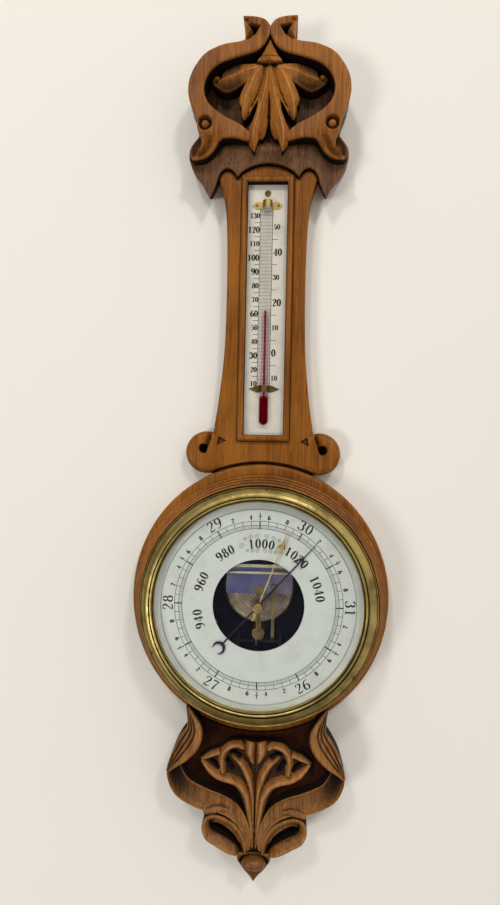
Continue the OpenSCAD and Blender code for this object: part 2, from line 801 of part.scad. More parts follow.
module tube_clip_pins() {
    head_seat = scale_front + clip_t;
    color(brass)
        for (z = [clip_upper_z, clip_lower_z], s = [-1, 1]) {
            peg(s * clip_pin_x, z, pin_d, scale_front - 5.5, head_seat);
            peg(s * clip_pin_x, z, pin_head_d, head_seat, head_seat + 0.7);
        }
}

// Dial, glass and bezel

module bezel() {
    outer_r = bezel_d / 2;
    open_r = bezel_open_d / 2;
    tube_r = glass_d / 2 + slack;
    rim_r = 4.3;
    rim_depth = glass_front - 1.8;
    flange_depth = bezel_seat + bezel_flange;
    flange_r = outer_r - 4.2;
    color(brass)
        difference() {
            turned(concat(
                [[tube_r, bezel_seat], [tube_r, lip_back], [open_r, lip_back]],
                arc(open_r + rim_r - 0.2, rim_depth, rim_r, 160, 10, 14),
                [[flange_r, rim_depth - 1.5], [flange_r, flange_depth], [outer_r - 0.5, flange_depth],
                    [outer_r, flange_depth - 0.5], [outer_r, bezel_seat]]));
            for (a = bezel_screw_angles)
                peg(bezel_screw_r * cos(a), dial_z + bezel_screw_r * sin(a), bezel_screw_d + 2 * fit,
                    bezel_seat - 1, flange_depth + 1);
        }
}

module bezel_screws() {
    color(brass)
        for (a = bezel_screw_angles)
            screw(bezel_screw_r * cos(a), dial_z + bezel_screw_r * sin(a), bezel_screw_d, bezel_screw_head_d,
                bezel_seat - 6.5, bezel_seat + bezel_flange, 0.8);
}

module dial_glass() {
    r = glass_d / 2;
    bevel_w = 9;
    bevel_r = bezel_open_d / 2 - 0.5;
    hole_r = stem_d / 2 + 2 * fit;
    color(glass)
        turned([[hole_r, glass_back], [r, glass_back], [r, lip_back], [bevel_r, lip_back],
            [bevel_r - bevel_w, glass_front], [hole_r, glass_front]]);
}

module sight_ring() {
    outer_r = glass_d / 2;
    inner_r = bezel_open_d / 2 + 1.5;
    color(brass)
        turned([[inner_r, dial_front], [outer_r, dial_front], [outer_r, glass_back], [inner_r, glass_back]]);
}

module dial_plate() {
    color(enamel)
        turned([[dial_hole_d / 2, dial_back], [dial_d / 2, dial_back], [dial_d / 2, dial_front],
            [dial_hole_d / 2, dial_front]]);
}

// Hands, laid out along +X and then turned to their reading

module pressure_hand() {
    tail = 58;
    moon_r = 6.3;
    arrow_l = 18;
    arrow_half = 3.2;
    arrow_x = hand_l - arrow_l;
    color(blued_steel)
        difference() {
            translate([0, 0, dial_z])
                slab(hand_back, hand_front)
                    rotate(hand_angle)
                        difference() {
                            union() {
                                polygon([[moon_r - tail - 2, -0.6], [arrow_x, -0.9], [arrow_x - 3, -arrow_half],
                                    [arrow_x + 4, -1.4], [hand_l, 0], [arrow_x + 4, 1.4],
                                    [arrow_x - 3, arrow_half], [arrow_x, 0.9], [moon_r - tail - 2, 0.6]]);
                                translate([-tail, 0]) circle(moon_r);
                                circle(collet_r + 1.2);
                            }
                            translate([-tail - 2, 0]) circle(moon_r - 1);
                        }
            peg(0, dial_z, 2 * collet_r, hand_back - 1, hand_front + 1);
        }
}

module hand_collet() {
    flange_t = 0.5;
    color(brass)
        difference() {
            union() {
                peg(0, dial_z, 2 * (collet_r - fit), hand_back - 1.4, hand_front + flange_t);
                peg(0, dial_z, 2 * (collet_r + 0.6), hand_back - 1.4, hand_back);
            }
            peg(0, dial_z, arbor_d + 2 * fit, hand_back - 2, hand_front);
        }
}

// Arbor with the collet of the hairspring and the drum of the chain
hairspring_collet_r = 1.6;

module centre_arbor() {
    color(steel)
        union() {
            peg(0, dial_z, arbor_d, cock_back - 3.8, hand_front);
            peg(0, dial_z, 2 * hairspring_collet_r, hairspring_depth - 0.5, hairspring_depth + 0.4);
            peg(0, dial_z, drum_d, drum_depth - 1.1, drum_depth + 1.1);
        }
}

module set_hand() {
    spade_x = set_hand_l - 18;
    tail = 16;
    color(brass)
        difference() {
            translate([0, 0, dial_z])
                slab(set_hand_back, set_hand_front)
                    rotate(set_hand_angle)
                        union() {
                            polygon([[-tail, -1.2], [spade_x, -0.6], [spade_x + 4, -2.6], [spade_x + 9, -0.9],
                                [set_hand_l, 0], [spade_x + 9, 0.9], [spade_x + 4, 2.6], [spade_x, 0.6],
                                [-tail, 1.2]]);
                            circle(stem_d);
                        }
            peg(0, dial_z, stem_d + 2 * fit, set_hand_back - 1, set_hand_front + 1);
        }
}

// Knob in front of the glass, on a stem that passes through the glass and holds the set hand
module set_knob() {
    stem_r = stem_d / 2;
    knob_r = knob_d / 2;
    grooves = 24;
    groove_r = knob_r + 0.2;
    groove_d = 0.8;
    color(brass)
        difference() {
            turned(concat(
                [[0, set_hand_back], [stem_r, set_hand_back], [stem_r, knob_back], [knob_r - 0.8, knob_back],
                    [knob_r, knob_back + 0.8], [knob_r, knob_back + knob_l - 1.6]],
                arc(knob_r - 1.6, knob_back + knob_l - 1.6, 1.6, 0, 90, 6),
                [[0, knob_back + knob_l]]));
            for (i = [0 : grooves - 1])
                let (a = i * 360 / grooves)
                    peg(groove_r * cos(a), dial_z + groove_r * sin(a), groove_d,
                        knob_back - 1, knob_back + knob_l - 1.4);
        }
}

// Movement

module movement_plate() {
    seat_r = 9;
    color(plate_navy)
        difference() {
            union() {
                peg(0, dial_z, base_plate_d, floor_t, plate_front);
                peg(0, dial_z + capsule_z, 2 * seat_r, plate_front, capsule_back);
            }
            peg(0, dial_z + capsule_z, adjuster_d + 2 * fit, floor_t - 1, capsule_back + 1);
            for (a = plate_screw_angles)
                peg(plate_screw_r * cos(a), dial_z + plate_screw_r * sin(a), screw_d + 2 * fit,
                    floor_t - 1, plate_front + 1);
        }
}

module movement_screws() {
    color(steel)
        for (a = plate_screw_angles)
            screw(plate_screw_r * cos(a), dial_z + plate_screw_r * sin(a), screw_d, screw_head_d,
                screw_tip, plate_front, screw_head_t);
}

// Corrugated capsule with a soldered rim
module vacuum_capsule() {
    rim_r = capsule_d / 2;
    wave_r = rim_r - 4;
    middle = (capsule_back + capsule_front) / 2;
    lip = 1.2;
    depth = 0.7;
    boss_r = 8;
    front = [for (r = [0 : 1 : wave_r]) [r, capsule_front - depth * (1 - cos(360 * r / ripple))]];
    back = [for (r = [wave_r : -1 : boss_r]) [r, capsule_back + 0.6 + depth * (1 - cos(360 * r / ripple))]];
    color(steel)
        turned(concat(front,
            [[wave_r + 2, middle + lip], [rim_r, middle + lip],
                [rim_r, middle - lip], [wave_r + 2, middle - lip]],
            back,
            [[boss_r, capsule_back], [0, capsule_back]]), 0, dial_z + capsule_z);
}

// Post that ties the capsule's front to the spring leaf
module capsule_post() {
    head_d = 10;
    color(brass)
        union() {
            peg(0, dial_z + capsule_z, post_d, capsule_front + 2 * slack, leaf_front);
            peg(0, dial_z + capsule_z, head_d, leaf_front, lever_front);
        }
}

module adjusting_screw() {
    slot_w = adjuster_d / 6;
    color(steel)
        difference() {
            peg(0, dial_z + capsule_z, adjuster_d, floor_t + slack, capsule_back - slack);
            translate([-adjuster_d, -floor_t - 1.5, dial_z + capsule_z - slot_w / 2])
                cube([2 * adjuster_d, 2, slot_w]);
        }
}

// Two cheeks on the base plate, joined by the hinge bar and a flat top bar
module spring_bridge() {
    cheek_front = spring_bar_depth + 4;
    top_bar_z = spring_bar_z + roll_outer + 1.5;
    top_bar_t = 5;
    color(plate_navy)
        union() {
            for (s = [0, 1])
                mirror([s, 0, 0])
                    translate([cheek_x, -cheek_front, dial_z + cheek_foot_z])
                        cube([cheek_t, cheek_front - plate_front, cheek_top_z - cheek_foot_z]);
            translate([-cheek_x, -spring_bar_depth, dial_z + spring_bar_z])
                rotate([0, 90, 0]) cylinder(d = spring_bar_d, h = 2 * cheek_x);
            translate([-cheek_x, -cheek_front, dial_z + top_bar_z])
                cube([2 * cheek_x, top_bar_t, cheek_top_z - top_bar_z]);
        }
}

// Blued leaf, rolled round the hinge bar at its top
module main_spring() {
    color(blued_steel)
        difference() {
            union() {
                translate([-leaf_w / 2, -leaf_front, dial_z + leaf_foot_z])
                    cube([leaf_w, leaf_t, spring_bar_z - leaf_foot_z]);
                translate([-leaf_w / 2, -spring_bar_depth, dial_z + spring_bar_z])
                    rotate([0, 90, 0]) cylinder(r = roll_outer, h = leaf_w);
            }
            translate([-leaf_w, -spring_bar_depth, dial_z + spring_bar_z])
                rotate([0, 90, 0]) cylinder(r = roll_inner, h = 2 * leaf_w);
            peg(0, dial_z + capsule_z, post_d + 2 * fit, leaf_back - 1, leaf_front + 1);
        }
}

// Lever from the leaf down to the crank of the rocking bar, with a finger at its end
module main_lever() {
    finger_back = rocker_depth + crank_t / 2 + 1.5 * slack;
    finger_h = 2.4;
    foot_z = rocker_z + crank_l - 2;
    color(brass)
        translate([lever_x, 0, dial_z])
            union() {
                translate([-lever_w / 2, -lever_front, foot_z]) cube([lever_w, lever_t, lever_top_z - foot_z]);
                translate([-lever_w / 2, -leaf_front - lever_t / 2, foot_z])
                    cube([lever_w, leaf_front + lever_t / 2 - finger_back, finger_h]);
                peg(0, lever_top_z, 2 * lever_w, leaf_front, lever_front + 2);
            }
}

// Bar across the movement with a crank for the lever and an arm for the chain
module rocking_bar() {
    arm_tip = drum_depth + chain_t / 2;
    color(steel)
        translate([0, 0, dial_z + rocker_z])
            union() {
                translate([-rocker_half, -rocker_depth, 0])
                    rotate([0, 90, 0]) cylinder(d = rocker_d, h = 2 * rocker_half);
                translate([chain_x - arm_w / 2, -arm_tip, -arm_t / 2])
                    cube([arm_w, arm_tip - rocker_depth, arm_t]);
                translate([lever_x - lever_w / 2, -rocker_depth - crank_t / 2, 0])
                    cube([lever_w, crank_t, crank_l]);
            }
}

module rocker_brackets() {
    half_h = 4;
    color(brass)
        for (s = [0, 1])
            mirror([s, 0, 0])
                difference() {
                    translate([bracket_x, -rocker_depth - half_h, dial_z + rocker_z - half_h])
                        cube([bracket_t, rocker_depth + half_h - plate_front, 2 * half_h]);
                    translate([bracket_x - 1, -rocker_depth, dial_z + rocker_z])
                        rotate([0, 90, 0]) cylinder(d = rocker_d + 2 * fit, h = bracket_t + 2);
                }
}

// Chain from the rocking bar's arm up to the drum
module pull_chain() {
    foot_z = rocker_z + arm_t / 2 + slack;
    color(steel)
        translate([chain_x - chain_t / 2, -drum_depth - chain_t / 2, dial_z + foot_z])
            cube([chain_t, chain_t, -foot_z]);
}

module cock_pillar() {
    color(brass)
        difference() {
            peg(0, dial_z + cock_foot_z, 2 * cock_pillar_r, plate_front, cock_back);
            peg(0, dial_z + cock_foot_z, screw_d + 2 * fit, cock_back - 11, cock_back + 1);
        }
}

// Arm that carries the arbor in a long bush, with the hairspring's stud
module arbor_cock() {
    arm_half = 2.5;
    eye_d = 6.4;
    bush_d = 5;
    bush_l = 4;
    stud_d = 1;
    stud_z = -(hairspring_r + hairspring_wire / 2 + slack + stud_d / 2);
    color(brass)
        difference() {
            union() {
                peg(0, dial_z + cock_foot_z, 2 * cock_pillar_r, cock_back, cock_front);
                peg(0, dial_z, eye_d, cock_back, cock_front);
                translate([-arm_half, -cock_front, dial_z + cock_foot_z])
                    cube([2 * arm_half, cock_front - cock_back, -cock_foot_z]);
                peg(0, dial_z, bush_d, cock_back - bush_l, cock_back);
                peg(0, dial_z + stud_z, stud_d, cock_front, hairspring_depth + hairspring_wire / 2);
            }
            peg(0, dial_z, arbor_d + 2 * fit, cock_back - bush_l - 1, cock_front + 1);
            peg(0, dial_z + cock_foot_z, screw_d + 2 * fit, cock_back - 1, cock_front + 1);
        }
}

module cock_screw() {
    head_d = 7;
    color(steel)
        screw(0, dial_z + cock_foot_z, screw_d, head_d, cock_back - 10, cock_front, screw_head_t);
}

// Flat spiral of round wire, from the arbor's collet out to the stud
hairspring_start_r = hairspring_collet_r + slack + hairspring_wire / 2;
hairspring_steps = 24 * hairspring_turns;
hairspring_sides = 6;
function hairspring_radius(i) =
    hairspring_start_r + (hairspring_r - hairspring_start_r) * i / hairspring_steps;
function hairspring_angle(i) = -90 - 360 * hairspring_turns + 15 * i;
hairspring_gap = min([for (i = [0 : hairspring_steps - 24])
    norm(hairspring_radius(i) * [cos(hairspring_angle(i)), sin(hairspring_angle(i))]
        - hairspring_radius(i + 24) * [cos(hairspring_angle(i + 24)), sin(hairspring_angle(i + 24))])])
    - hairspring_wire;
echo(hairspring_gap = hairspring_gap);

module hairspring() {
    n = hairspring_sides;
    points = [for (i = [0 : hairspring_steps], k = [0 : n - 1]) let (
            r = hairspring_radius(i) + hairspring_wire / 2 * cos(k * 360 / n),
            a = hairspring_angle(i))
        [r * cos(a), -hairspring_depth - hairspring_wire / 2 * sin(k * 360 / n), dial_z + r * sin(a)]];
    walls = [for (i = [0 : hairspring_steps - 1], k = [0 : n - 1]) let (
            a = i * n + k,
            b = i * n + (k + 1) % n)
        each [[a, b, b + n], [a, b + n, a + n]]];
    first_cap = [for (k = [n - 1 : -1 : 0]) k];
    last_cap = [for (k = [0 : n - 1]) hairspring_steps * n + k];
    color(blued_steel) polyhedron(points, concat(walls, [first_cap, last_cap]));
}

neck_board();
dial_round();
dial_moulding();
case_dowels();
crest_block();
crest_scroll_left();
crest_scroll_right();
crest_curl_left();
crest_curl_right();
crest_buttons();
crest_leaf();
crest_bud();
base_block();
base_ribbon_left();
base_ribbon_right();
base_curl_left();
base_curl_right();
base_spray();
base_boss();
hanging_plate();
hanging_screws();
thermometer_beads();
thermometer_scale();
thermometer_tube();
thermometer_spirit();
tube_clip_upper();
tube_clip_lower();
tube_clip_pins();
scale_screw();
bezel();
bezel_screws();
dial_glass();
sight_ring();
dial_plate();
pressure_hand();
hand_collet();
centre_arbor();
set_hand();
set_knob();
movement_plate();
movement_screws();
vacuum_capsule();
capsule_post();
adjusting_screw();
spring_bridge();
main_spring();
main_lever();
rocking_bar();
rocker_brackets();
pull_chain();
cock_pillar();
arbor_cock();
cock_screw();
hairspring();
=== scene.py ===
# %% [markdown]
# # A carved banjo barometer
#
# The imported CAD part gives every piece its place. This lesson gives the oak its carving and grain, the
# brass its brushed lines, and the dial and the thermometer their printed numbers. The frame is loaded first.

# %% Load the frame
import math

import bmesh
import bpy
import numpy as np
from mathutils import Matrix, Vector
from mathutils.geometry import delaunay_2d_cdt


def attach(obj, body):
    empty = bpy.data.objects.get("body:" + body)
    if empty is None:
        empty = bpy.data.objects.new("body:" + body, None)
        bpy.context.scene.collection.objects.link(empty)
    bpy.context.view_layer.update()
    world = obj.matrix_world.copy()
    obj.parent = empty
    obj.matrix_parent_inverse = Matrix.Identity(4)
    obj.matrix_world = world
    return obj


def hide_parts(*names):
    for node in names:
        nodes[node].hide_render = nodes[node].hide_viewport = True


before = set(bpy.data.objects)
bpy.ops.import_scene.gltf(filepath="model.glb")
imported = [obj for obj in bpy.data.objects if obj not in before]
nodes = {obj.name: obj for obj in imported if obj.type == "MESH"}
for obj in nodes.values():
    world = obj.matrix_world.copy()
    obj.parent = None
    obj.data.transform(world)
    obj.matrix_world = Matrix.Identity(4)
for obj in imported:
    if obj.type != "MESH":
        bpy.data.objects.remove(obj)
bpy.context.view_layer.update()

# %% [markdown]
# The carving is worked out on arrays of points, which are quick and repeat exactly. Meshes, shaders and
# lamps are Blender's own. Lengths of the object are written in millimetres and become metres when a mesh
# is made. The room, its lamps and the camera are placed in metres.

MM = 0.001

# %% [markdown]
# ## Lines of the carving
#
# A carver draws a few points and bends a smooth line through them. The same is done here: a curve passes
# through each given point, runs are joined end to end, and a half outline is mirrored on the middle line.
# All carving is drawn as x, depth from the wall and z, because those are the maker's numbers.

# %% Curves through points
SAME_POINT = 0.05


def smooth(points, steps=6):
    """A curve through the points; each row may carry more values, such as a width and a height."""
    rows = np.asarray(points, dtype=float)
    rows = np.vstack([rows[:1], rows, rows[-1:]])
    part = (np.arange(steps) / steps)[:, None]
    curve = []
    for before, start, end, after in zip(rows, rows[1:], rows[2:], rows[3:]):
        bend = 2 * before - 5 * start + 4 * end - after
        twist = 3 * start - before - 3 * end + after
        curve.append(0.5 * (2 * start + (end - before) * part + bend * part**2 + twist * part**3))
    curve.append(rows[-1:])
    return np.vstack(curve)


def joined(*runs):
    """Runs of points put end to end, without the points that repeat."""
    points = np.vstack(runs)
    keep = np.ones(len(points), bool)
    keep[1:] = np.linalg.norm(np.diff(points, axis=0), axis=1) > SAME_POINT
    return points[keep]


def both_sides(half):
    """A closed outline from its right half."""
    whole = joined(half, half[::-1] * [-1, 1])
    return whole[:-1] if np.linalg.norm(whole[0] - whole[-1]) < SAME_POINT else whole


def arc(x, z, radius, start, end, steps=24):
    """Points on a circle from one angle to another, in degrees."""
    angles = np.radians(np.linspace(start, end, steps + 1))
    return np.stack([x + radius * np.cos(angles), z + radius * np.sin(angles)], axis=1)


print("a smooth run of three points has", len(smooth([[0, 0], [1, 1], [2, 0]])), "points")

# %% [markdown]
# ## From points to a piece
#
# Every point carries a fourth number, its tone: below zero it darkens the colour, as stain and as painted
# shade in recesses and down deep walls, and above zero it lightens it, as wear and as a painted highlight on
# ridges and edges. The oak reads it as an attribute, so dark hollows and bright ridges follow the carving
# itself. A piece is made once here and then rides its body.

# %% Make a piece of the model
SHARP = 38
# Tones below zero paint shade: the blackest on deep walls and undersides, the next where a wall meets the
# ground or the back.
SHADE_BLACK = -1.2
RECESS = -0.8
BACK_TONE = -0.15
PLAIN = -0.1


def add_piece(name, shape, finish, body, slot, *stands_for):
    """A mesh from points of x, depth, z and tone; it rides a body and may stand for CAD nodes."""
    points, faces = shape
    mesh = bpy.data.meshes.new(name)
    mesh.from_pydata((points[:, :3] * [MM, -MM, MM]).tolist(), [], faces)
    tone = mesh.attributes.new("tone", "FLOAT", "POINT")
    tone.data.foreach_set("value", points[:, 3].astype(np.float32))
    work = bmesh.new()
    work.from_mesh(mesh)
    bmesh.ops.recalc_face_normals(work, faces=work.faces)
    work.to_mesh(mesh)
    work.free()
    mesh.shade_smooth()
    mesh.set_sharp_from_angle(angle=math.radians(SHARP))
    mesh.materials.append(finish)
    piece = bpy.data.objects.new(name, mesh)
    bpy.context.scene.collection.objects.link(piece)
    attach(piece, body)
    if stands_for:
        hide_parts(*stands_for)
    print(name, len(mesh.vertices), "points on", body)
    return piece


def merged(*shapes):
    """Several closed shapes as one."""
    points = []
    faces = []
    start = 0
    for some_points, some_faces in shapes:
        points.append(some_points)
        faces += [[int(corner) + start for corner in face] for face in some_faces]
        start += len(some_points)
    return np.vstack(points), faces


def flipped(shape):
    """The same shape on the other side of the middle line."""
    return shape[0] * [-1, 1, 1, 1], shape[1]


print("tones: black", SHADE_BLACK, "recess", RECESS, "back", BACK_TONE, "plain", PLAIN)

# %% [markdown]
# ## A board with a carved face
#
# A carved board is a flat outline whose face rises and falls. Sculpting it by hand would not repeat, and a
# displacement modifier needs a fine even grid. A triangulation that keeps the outline's edges gives both a
# crisp outline and a free choice of where the points lie, so the face takes its depth from a formula.

# %% Outlines and distances
def divided(outline, step):
    """The outline with points no further apart than a step."""
    rows = []
    for a, b in zip(outline, np.roll(outline, -1, axis=0)):
        count = max(1, int(np.ceil(np.linalg.norm(b - a) / step)))
        rows.append(a + (b - a) * (np.arange(count) / count)[:, None])
    return np.vstack(rows)


def inside(outline, points):
    """True for the points within a closed outline."""
    x, z = points[:, 0], points[:, 1]
    found = np.zeros(len(points), bool)
    for (ax, az), (bx, bz) in zip(outline, np.roll(outline, -1, axis=0)):
        if az != bz:
            found ^= ((az > z) != (bz > z)) & (x < (bx - ax) * (z - az) / (bz - az) + ax)
    return found


def line_distance(line, points, closed=False):
    """Distance from each point to a line of points, and how far along the line the nearest place is."""
    ends = np.roll(line, -1, axis=0) if closed else line[1:]
    nearest = np.full(len(points), np.inf)
    place = np.zeros(len(points))
    for k, (a, b) in enumerate(zip(line, ends)):
        along = b - a
        t = np.clip((points - a) @ along / max(along @ along, 1e-9), 0, 1)
        gap = np.linalg.norm(points - a - t[:, None] * along, axis=1)
        closer = gap < nearest
        nearest[closer] = gap[closer]
        place[closer] = (k + t[closer]) / max(1, len(line) - 1)
    return nearest, place


def edge_distance(loops, points):
    """Distance from each point to the nearest outline."""
    return np.min([line_distance(loop, points, closed=True)[0] for loop in loops], axis=0)


def fill(points, loops):
    """Triangles between the first loop and the loops within it; the loops' points come first."""
    edges = []
    start = 0
    for loop in loops:
        edges += [(start + i, start + (i + 1) % len(loop)) for i in range(len(loop))]
        start += len(loop)
    made = delaunay_2d_cdt([Vector(p) for p in points], edges, [], 0, 1e-7)
    origin = np.array([source[0] for source in made[3]])
    faces = origin[np.array(made[2])]
    middle = points[faces].mean(axis=1)
    keep = inside(loops[0], middle)
    for hole in loops[1:]:
        keep &= ~inside(hole, middle)
    return faces[keep]


square = np.array([[0, 0], [2, 0], [2, 2], [0, 2]])
print("a point in a square lies", edge_distance([square], np.array([[0.5, 1.0]]))[0], "from its edge")

# %% [markdown]
# A face bends most along its edges, so rings of points lie beside every outline. An even field fills the
# rest, and small circles of closer points are put where a cut is fine.

# %% Points of a carved face
RINGS = (0.5, 1.2, 2.2, 3.2)
ROW_HEIGHT = 0.866


def inset(loop, distance):
    """Points beside a loop, towards its inside."""
    ahead = np.roll(loop, -1, axis=0) - np.roll(loop, 1, axis=0)
    ahead /= np.maximum(np.linalg.norm(ahead, axis=1), 1e-9)[:, None]
    area = np.sum(loop[:, 0] * np.roll(loop[:, 1], -1) - np.roll(loop[:, 0], -1) * loop[:, 1])
    return loop + np.sign(area) * distance * np.stack([-ahead[:, 1], ahead[:, 0]], axis=1)


def hexagons(low, high, step):
    """An even field of points in rows that are shifted by half a step."""
    rows = np.arange(low[1], high[1], step * ROW_HEIGHT)
    columns = np.arange(low[0], high[0], step)
    return np.array([(x + (k % 2) * step / 2, z) for k, z in enumerate(rows) for x in columns])


def face_points(loops, step, details):
    """Points of a carved face: the outlines, rings of points beside them and an even field between."""
    low, high = loops[0].min(axis=0), loops[0].max(axis=0)
    field = hexagons(low, high, step)
    for x, z, radius, fine in details:
        near = np.hypot(field[:, 0] - x, field[:, 1] - z) < radius
        extra = hexagons((x - radius, z - radius), (x + radius, z + radius), fine)
        extra = extra[np.hypot(extra[:, 0] - x, extra[:, 1] - z) < radius]
        field = np.vstack([field[~near], extra])
    groups = [(RINGS[-1] + 0.3 * step, field)]
    for k, loop in enumerate(loops):
        for ring in RINGS:
            groups.append((0.8 * ring, inset(loop, ring if k == 0 else -ring)))
    chosen = list(loops)
    for least, points in groups:
        keep = inside(loops[0], points) & (edge_distance(loops, points) > least)
        for hole in loops[1:]:
            keep &= ~inside(hole, points)
        chosen.append(points[keep])
    return np.vstack(chosen)


print("rings of points lie", RINGS, "from an edge")

# %% [markdown]
# Walls and a back close the board. Its holes go through or end on a floor, and pockets are cut from behind,
# one within the other. The wall just below the face can take a tone of its own, which paints the shade of a
# deep cut, and walls darken with painted shade towards a back that stands off the wall.

# %% Carve a board
WALL_TOP = 1.2


def carve(outline, back, face, step, holes=(), floor=None, pockets=(), details=(), walls=None):
    """A board from its outline. face(x, z, edge) gives depth and tone of the carved side.

    Holes go through, or down to a floor. Pockets are (outline, depth) cut one within the other from behind.
    Details are (x, z, radius, step) where the face needs closer points. walls(x, z) gives the tone of the
    outer wall just below the face, a painted shade.
    """
    loops = [divided(loop, step) for loop in (outline, *holes)]
    flat = face_points(loops, step, details)
    depth, tone = face(flat[:, 0], flat[:, 1], edge_distance(loops, flat))
    points = [np.column_stack([flat[:, 0], depth, flat[:, 1], tone])]
    faces = fill(flat, loops).tolist()
    count = len(flat)

    def level(loop, depth_here, tone_here=RECESS):
        """Adds a loop of points and gives their numbers."""
        nonlocal count
        size = len(loop)
        points.append(np.column_stack([
            loop[:, 0], np.broadcast_to(depth_here, size), loop[:, 1], np.broadcast_to(tone_here, size)]))
        numbers = np.arange(count, count + size)
        count += size
        return numbers

    def wall(upper, lower):
        """Quads between two loops of the same number of points."""
        for i in range(len(upper)):
            k = (i + 1) % len(upper)
            faces.append([upper[i], upper[k], lower[k], lower[i]])

    def cover(flat_loops, numbers):
        """A flat face between loops."""
        order = np.concatenate(numbers)
        faces.extend(order[fill(np.vstack(flat_loops), flat_loops)].tolist())

    # Walls fade to painted shade at their foot, and at the back of a board that stands off the wall.
    back_tone = BACK_TONE if back == 0 else RECESS
    start = 0
    lower = []
    for k, loop in enumerate(loops):
        upper = np.arange(start, start + len(loop))
        start += len(loop)
        if k == 0 and walls is not None:
            shoulder = level(loop, depth[upper] - WALL_TOP, walls(loop[:, 0], loop[:, 1]))
            wall(upper, shoulder)
            upper = shoulder
        open_hole = k == 0 or floor is None
        lower.append(level(loop, back, back_tone) if open_hole else level(loop, floor))
        wall(upper, lower[-1])
        if not open_hole:
            cover([loop], [lower[-1]])
    outer_loops = loops if floor is None else loops[:1]
    outer_numbers = lower if floor is None else lower[:1]
    depth_here = back
    for pocket, pocket_depth in pockets:
        mouth = level(pocket, depth_here, back_tone)
        cover([*outer_loops, pocket], [*outer_numbers, mouth])
        bottom = level(pocket, pocket_depth)
        wall(mouth, bottom)
        outer_loops, outer_numbers, depth_here = [pocket], [bottom], pocket_depth
    cover(outer_loops, outer_numbers)
    return np.vstack(points), faces


def black_walls(x, z):
    """Walls painted black as the shade of a deep cut."""
    return np.full(len(x), SHADE_BLACK)


print("a carved wall changes its tone", WALL_TOP, "mm below the face")

# %% [markdown]
# A carver makes few kinds of cuts: rounded edges, narrow humps and grooves, slopes and soft steps. Each
# has a short formula here, so that a face can be written as their sum.

# %% Cuts of the carver
STEEPEST = 30


def rounded(edge, radius):
    """How far a rounded edge lies below its face, by the distance from the edge."""
    left = 1 - np.clip(edge / radius, 0, 1)
    return radius * (1 - np.sqrt(1 - left**2))


def tooled(x, z, size, amount):
    """The slight unevenness that a hand tool leaves."""
    across = np.sin(x / size + 1.7 * np.sin(z / (1.9 * size)))
    return amount * across * np.cos(z / (1.3 * size) + 0.8 * np.sin(x / (2.1 * size)))


def hump(value, middle, width):
    """One at the middle, and nothing from about two widths beside it."""
    return np.exp(-((value - middle) / width) ** 2)


def slope(value, start, end):
    """Nothing at the start, one at the end, and straight between."""
    return np.clip((value - start) / (end - start), 0, 1)


def below(value, limit, steepness):
    """One below a limit and nothing above it, with a soft step between."""
    return 1 / (1 + np.exp(np.clip((value - limit) * steepness, -STEEPEST, STEEPEST)))


print("a hump of width 2 is", round(hump(2, 0, 2), 2), "high one width from its middle")

# %% [markdown]
# ## Straps and turned rings
#
# Ribbons, curls, hands and strokes of ink are straps that follow a line, wider here and higher there. A
# bevelled curve can't change its section on the way, so each strap is built from cross sections.

# %% Sweep a strap
HALF_ACROSS = np.array([0, 0.16, 0.33, 0.5, 0.66, 0.8, 0.9, 0.96, 1])
ACROSS = np.concatenate([-HALF_ACROSS[:0:-1], HALF_ACROSS])


def strap(stations, ground, section, steps=6, across=ACROSS, sunk=0.0, shaded_sides=False):
    """A closed strap along stations of x, z, half width and rise; section gives rise and tone across it.

    The strap stands on the ground or is sunk below it, and its sides may be painted black as the shade of a
    deep cut.
    """
    rows = smooth(stations, steps)
    path = rows[:, :2]
    ahead = np.gradient(path, axis=0)
    ahead /= np.linalg.norm(ahead, axis=1)[:, None]
    side = np.stack([-ahead[:, 1], ahead[:, 0]], axis=1)
    way = np.linspace(0, 1, len(rows))
    points = []
    for k, row in enumerate(rows):
        half_width, height = row[2:4] if len(row) > 3 else (row[2], 0)
        xz = path[k] + (across * half_width)[:, None] * side[k]
        rise, tone = section(across, half_width, height, way[k])
        top = np.column_stack([xz[:, 0], ground + rise, xz[:, 1], tone])
        # The feet and the black band below the top paint shade on the strap's sides.
        feet = top[[0, -1]].copy()
        feet[:, 1] = ground - sunk
        feet[:, 3] = RECESS
        sides = top[[0, -1]].copy()
        sides[:, 1] = np.maximum(sides[:, 1] - WALL_TOP, ground - 0.5 * sunk)
        sides[:, 3] = SHADE_BLACK
        parts = [feet[:1], sides[:1], top, sides[1:], feet[1:]] if shaded_sides else [feet[:1], top, feet[1:]]
        points.append(np.vstack(parts))
    count = len(points[0])
    faces = []
    for start in range(0, (len(rows) - 1) * count, count):
        for j in range(count):
            beside = (j + 1) % count
            faces.append([start + j, start + beside, start + count + beside, start + count + j])
    faces.append(list(range(count)))
    faces.append(list(range((len(rows) - 1) * count, len(rows) * count)))
    return np.vstack(points), faces


print("a strap has", len(ACROSS), "points across")

# %% [markdown]
# Mouldings, the bezel, the capsule and the round buttons were turned. A profile of radius and depth goes
# round an axis that faces the viewer, as the work does on a lathe.

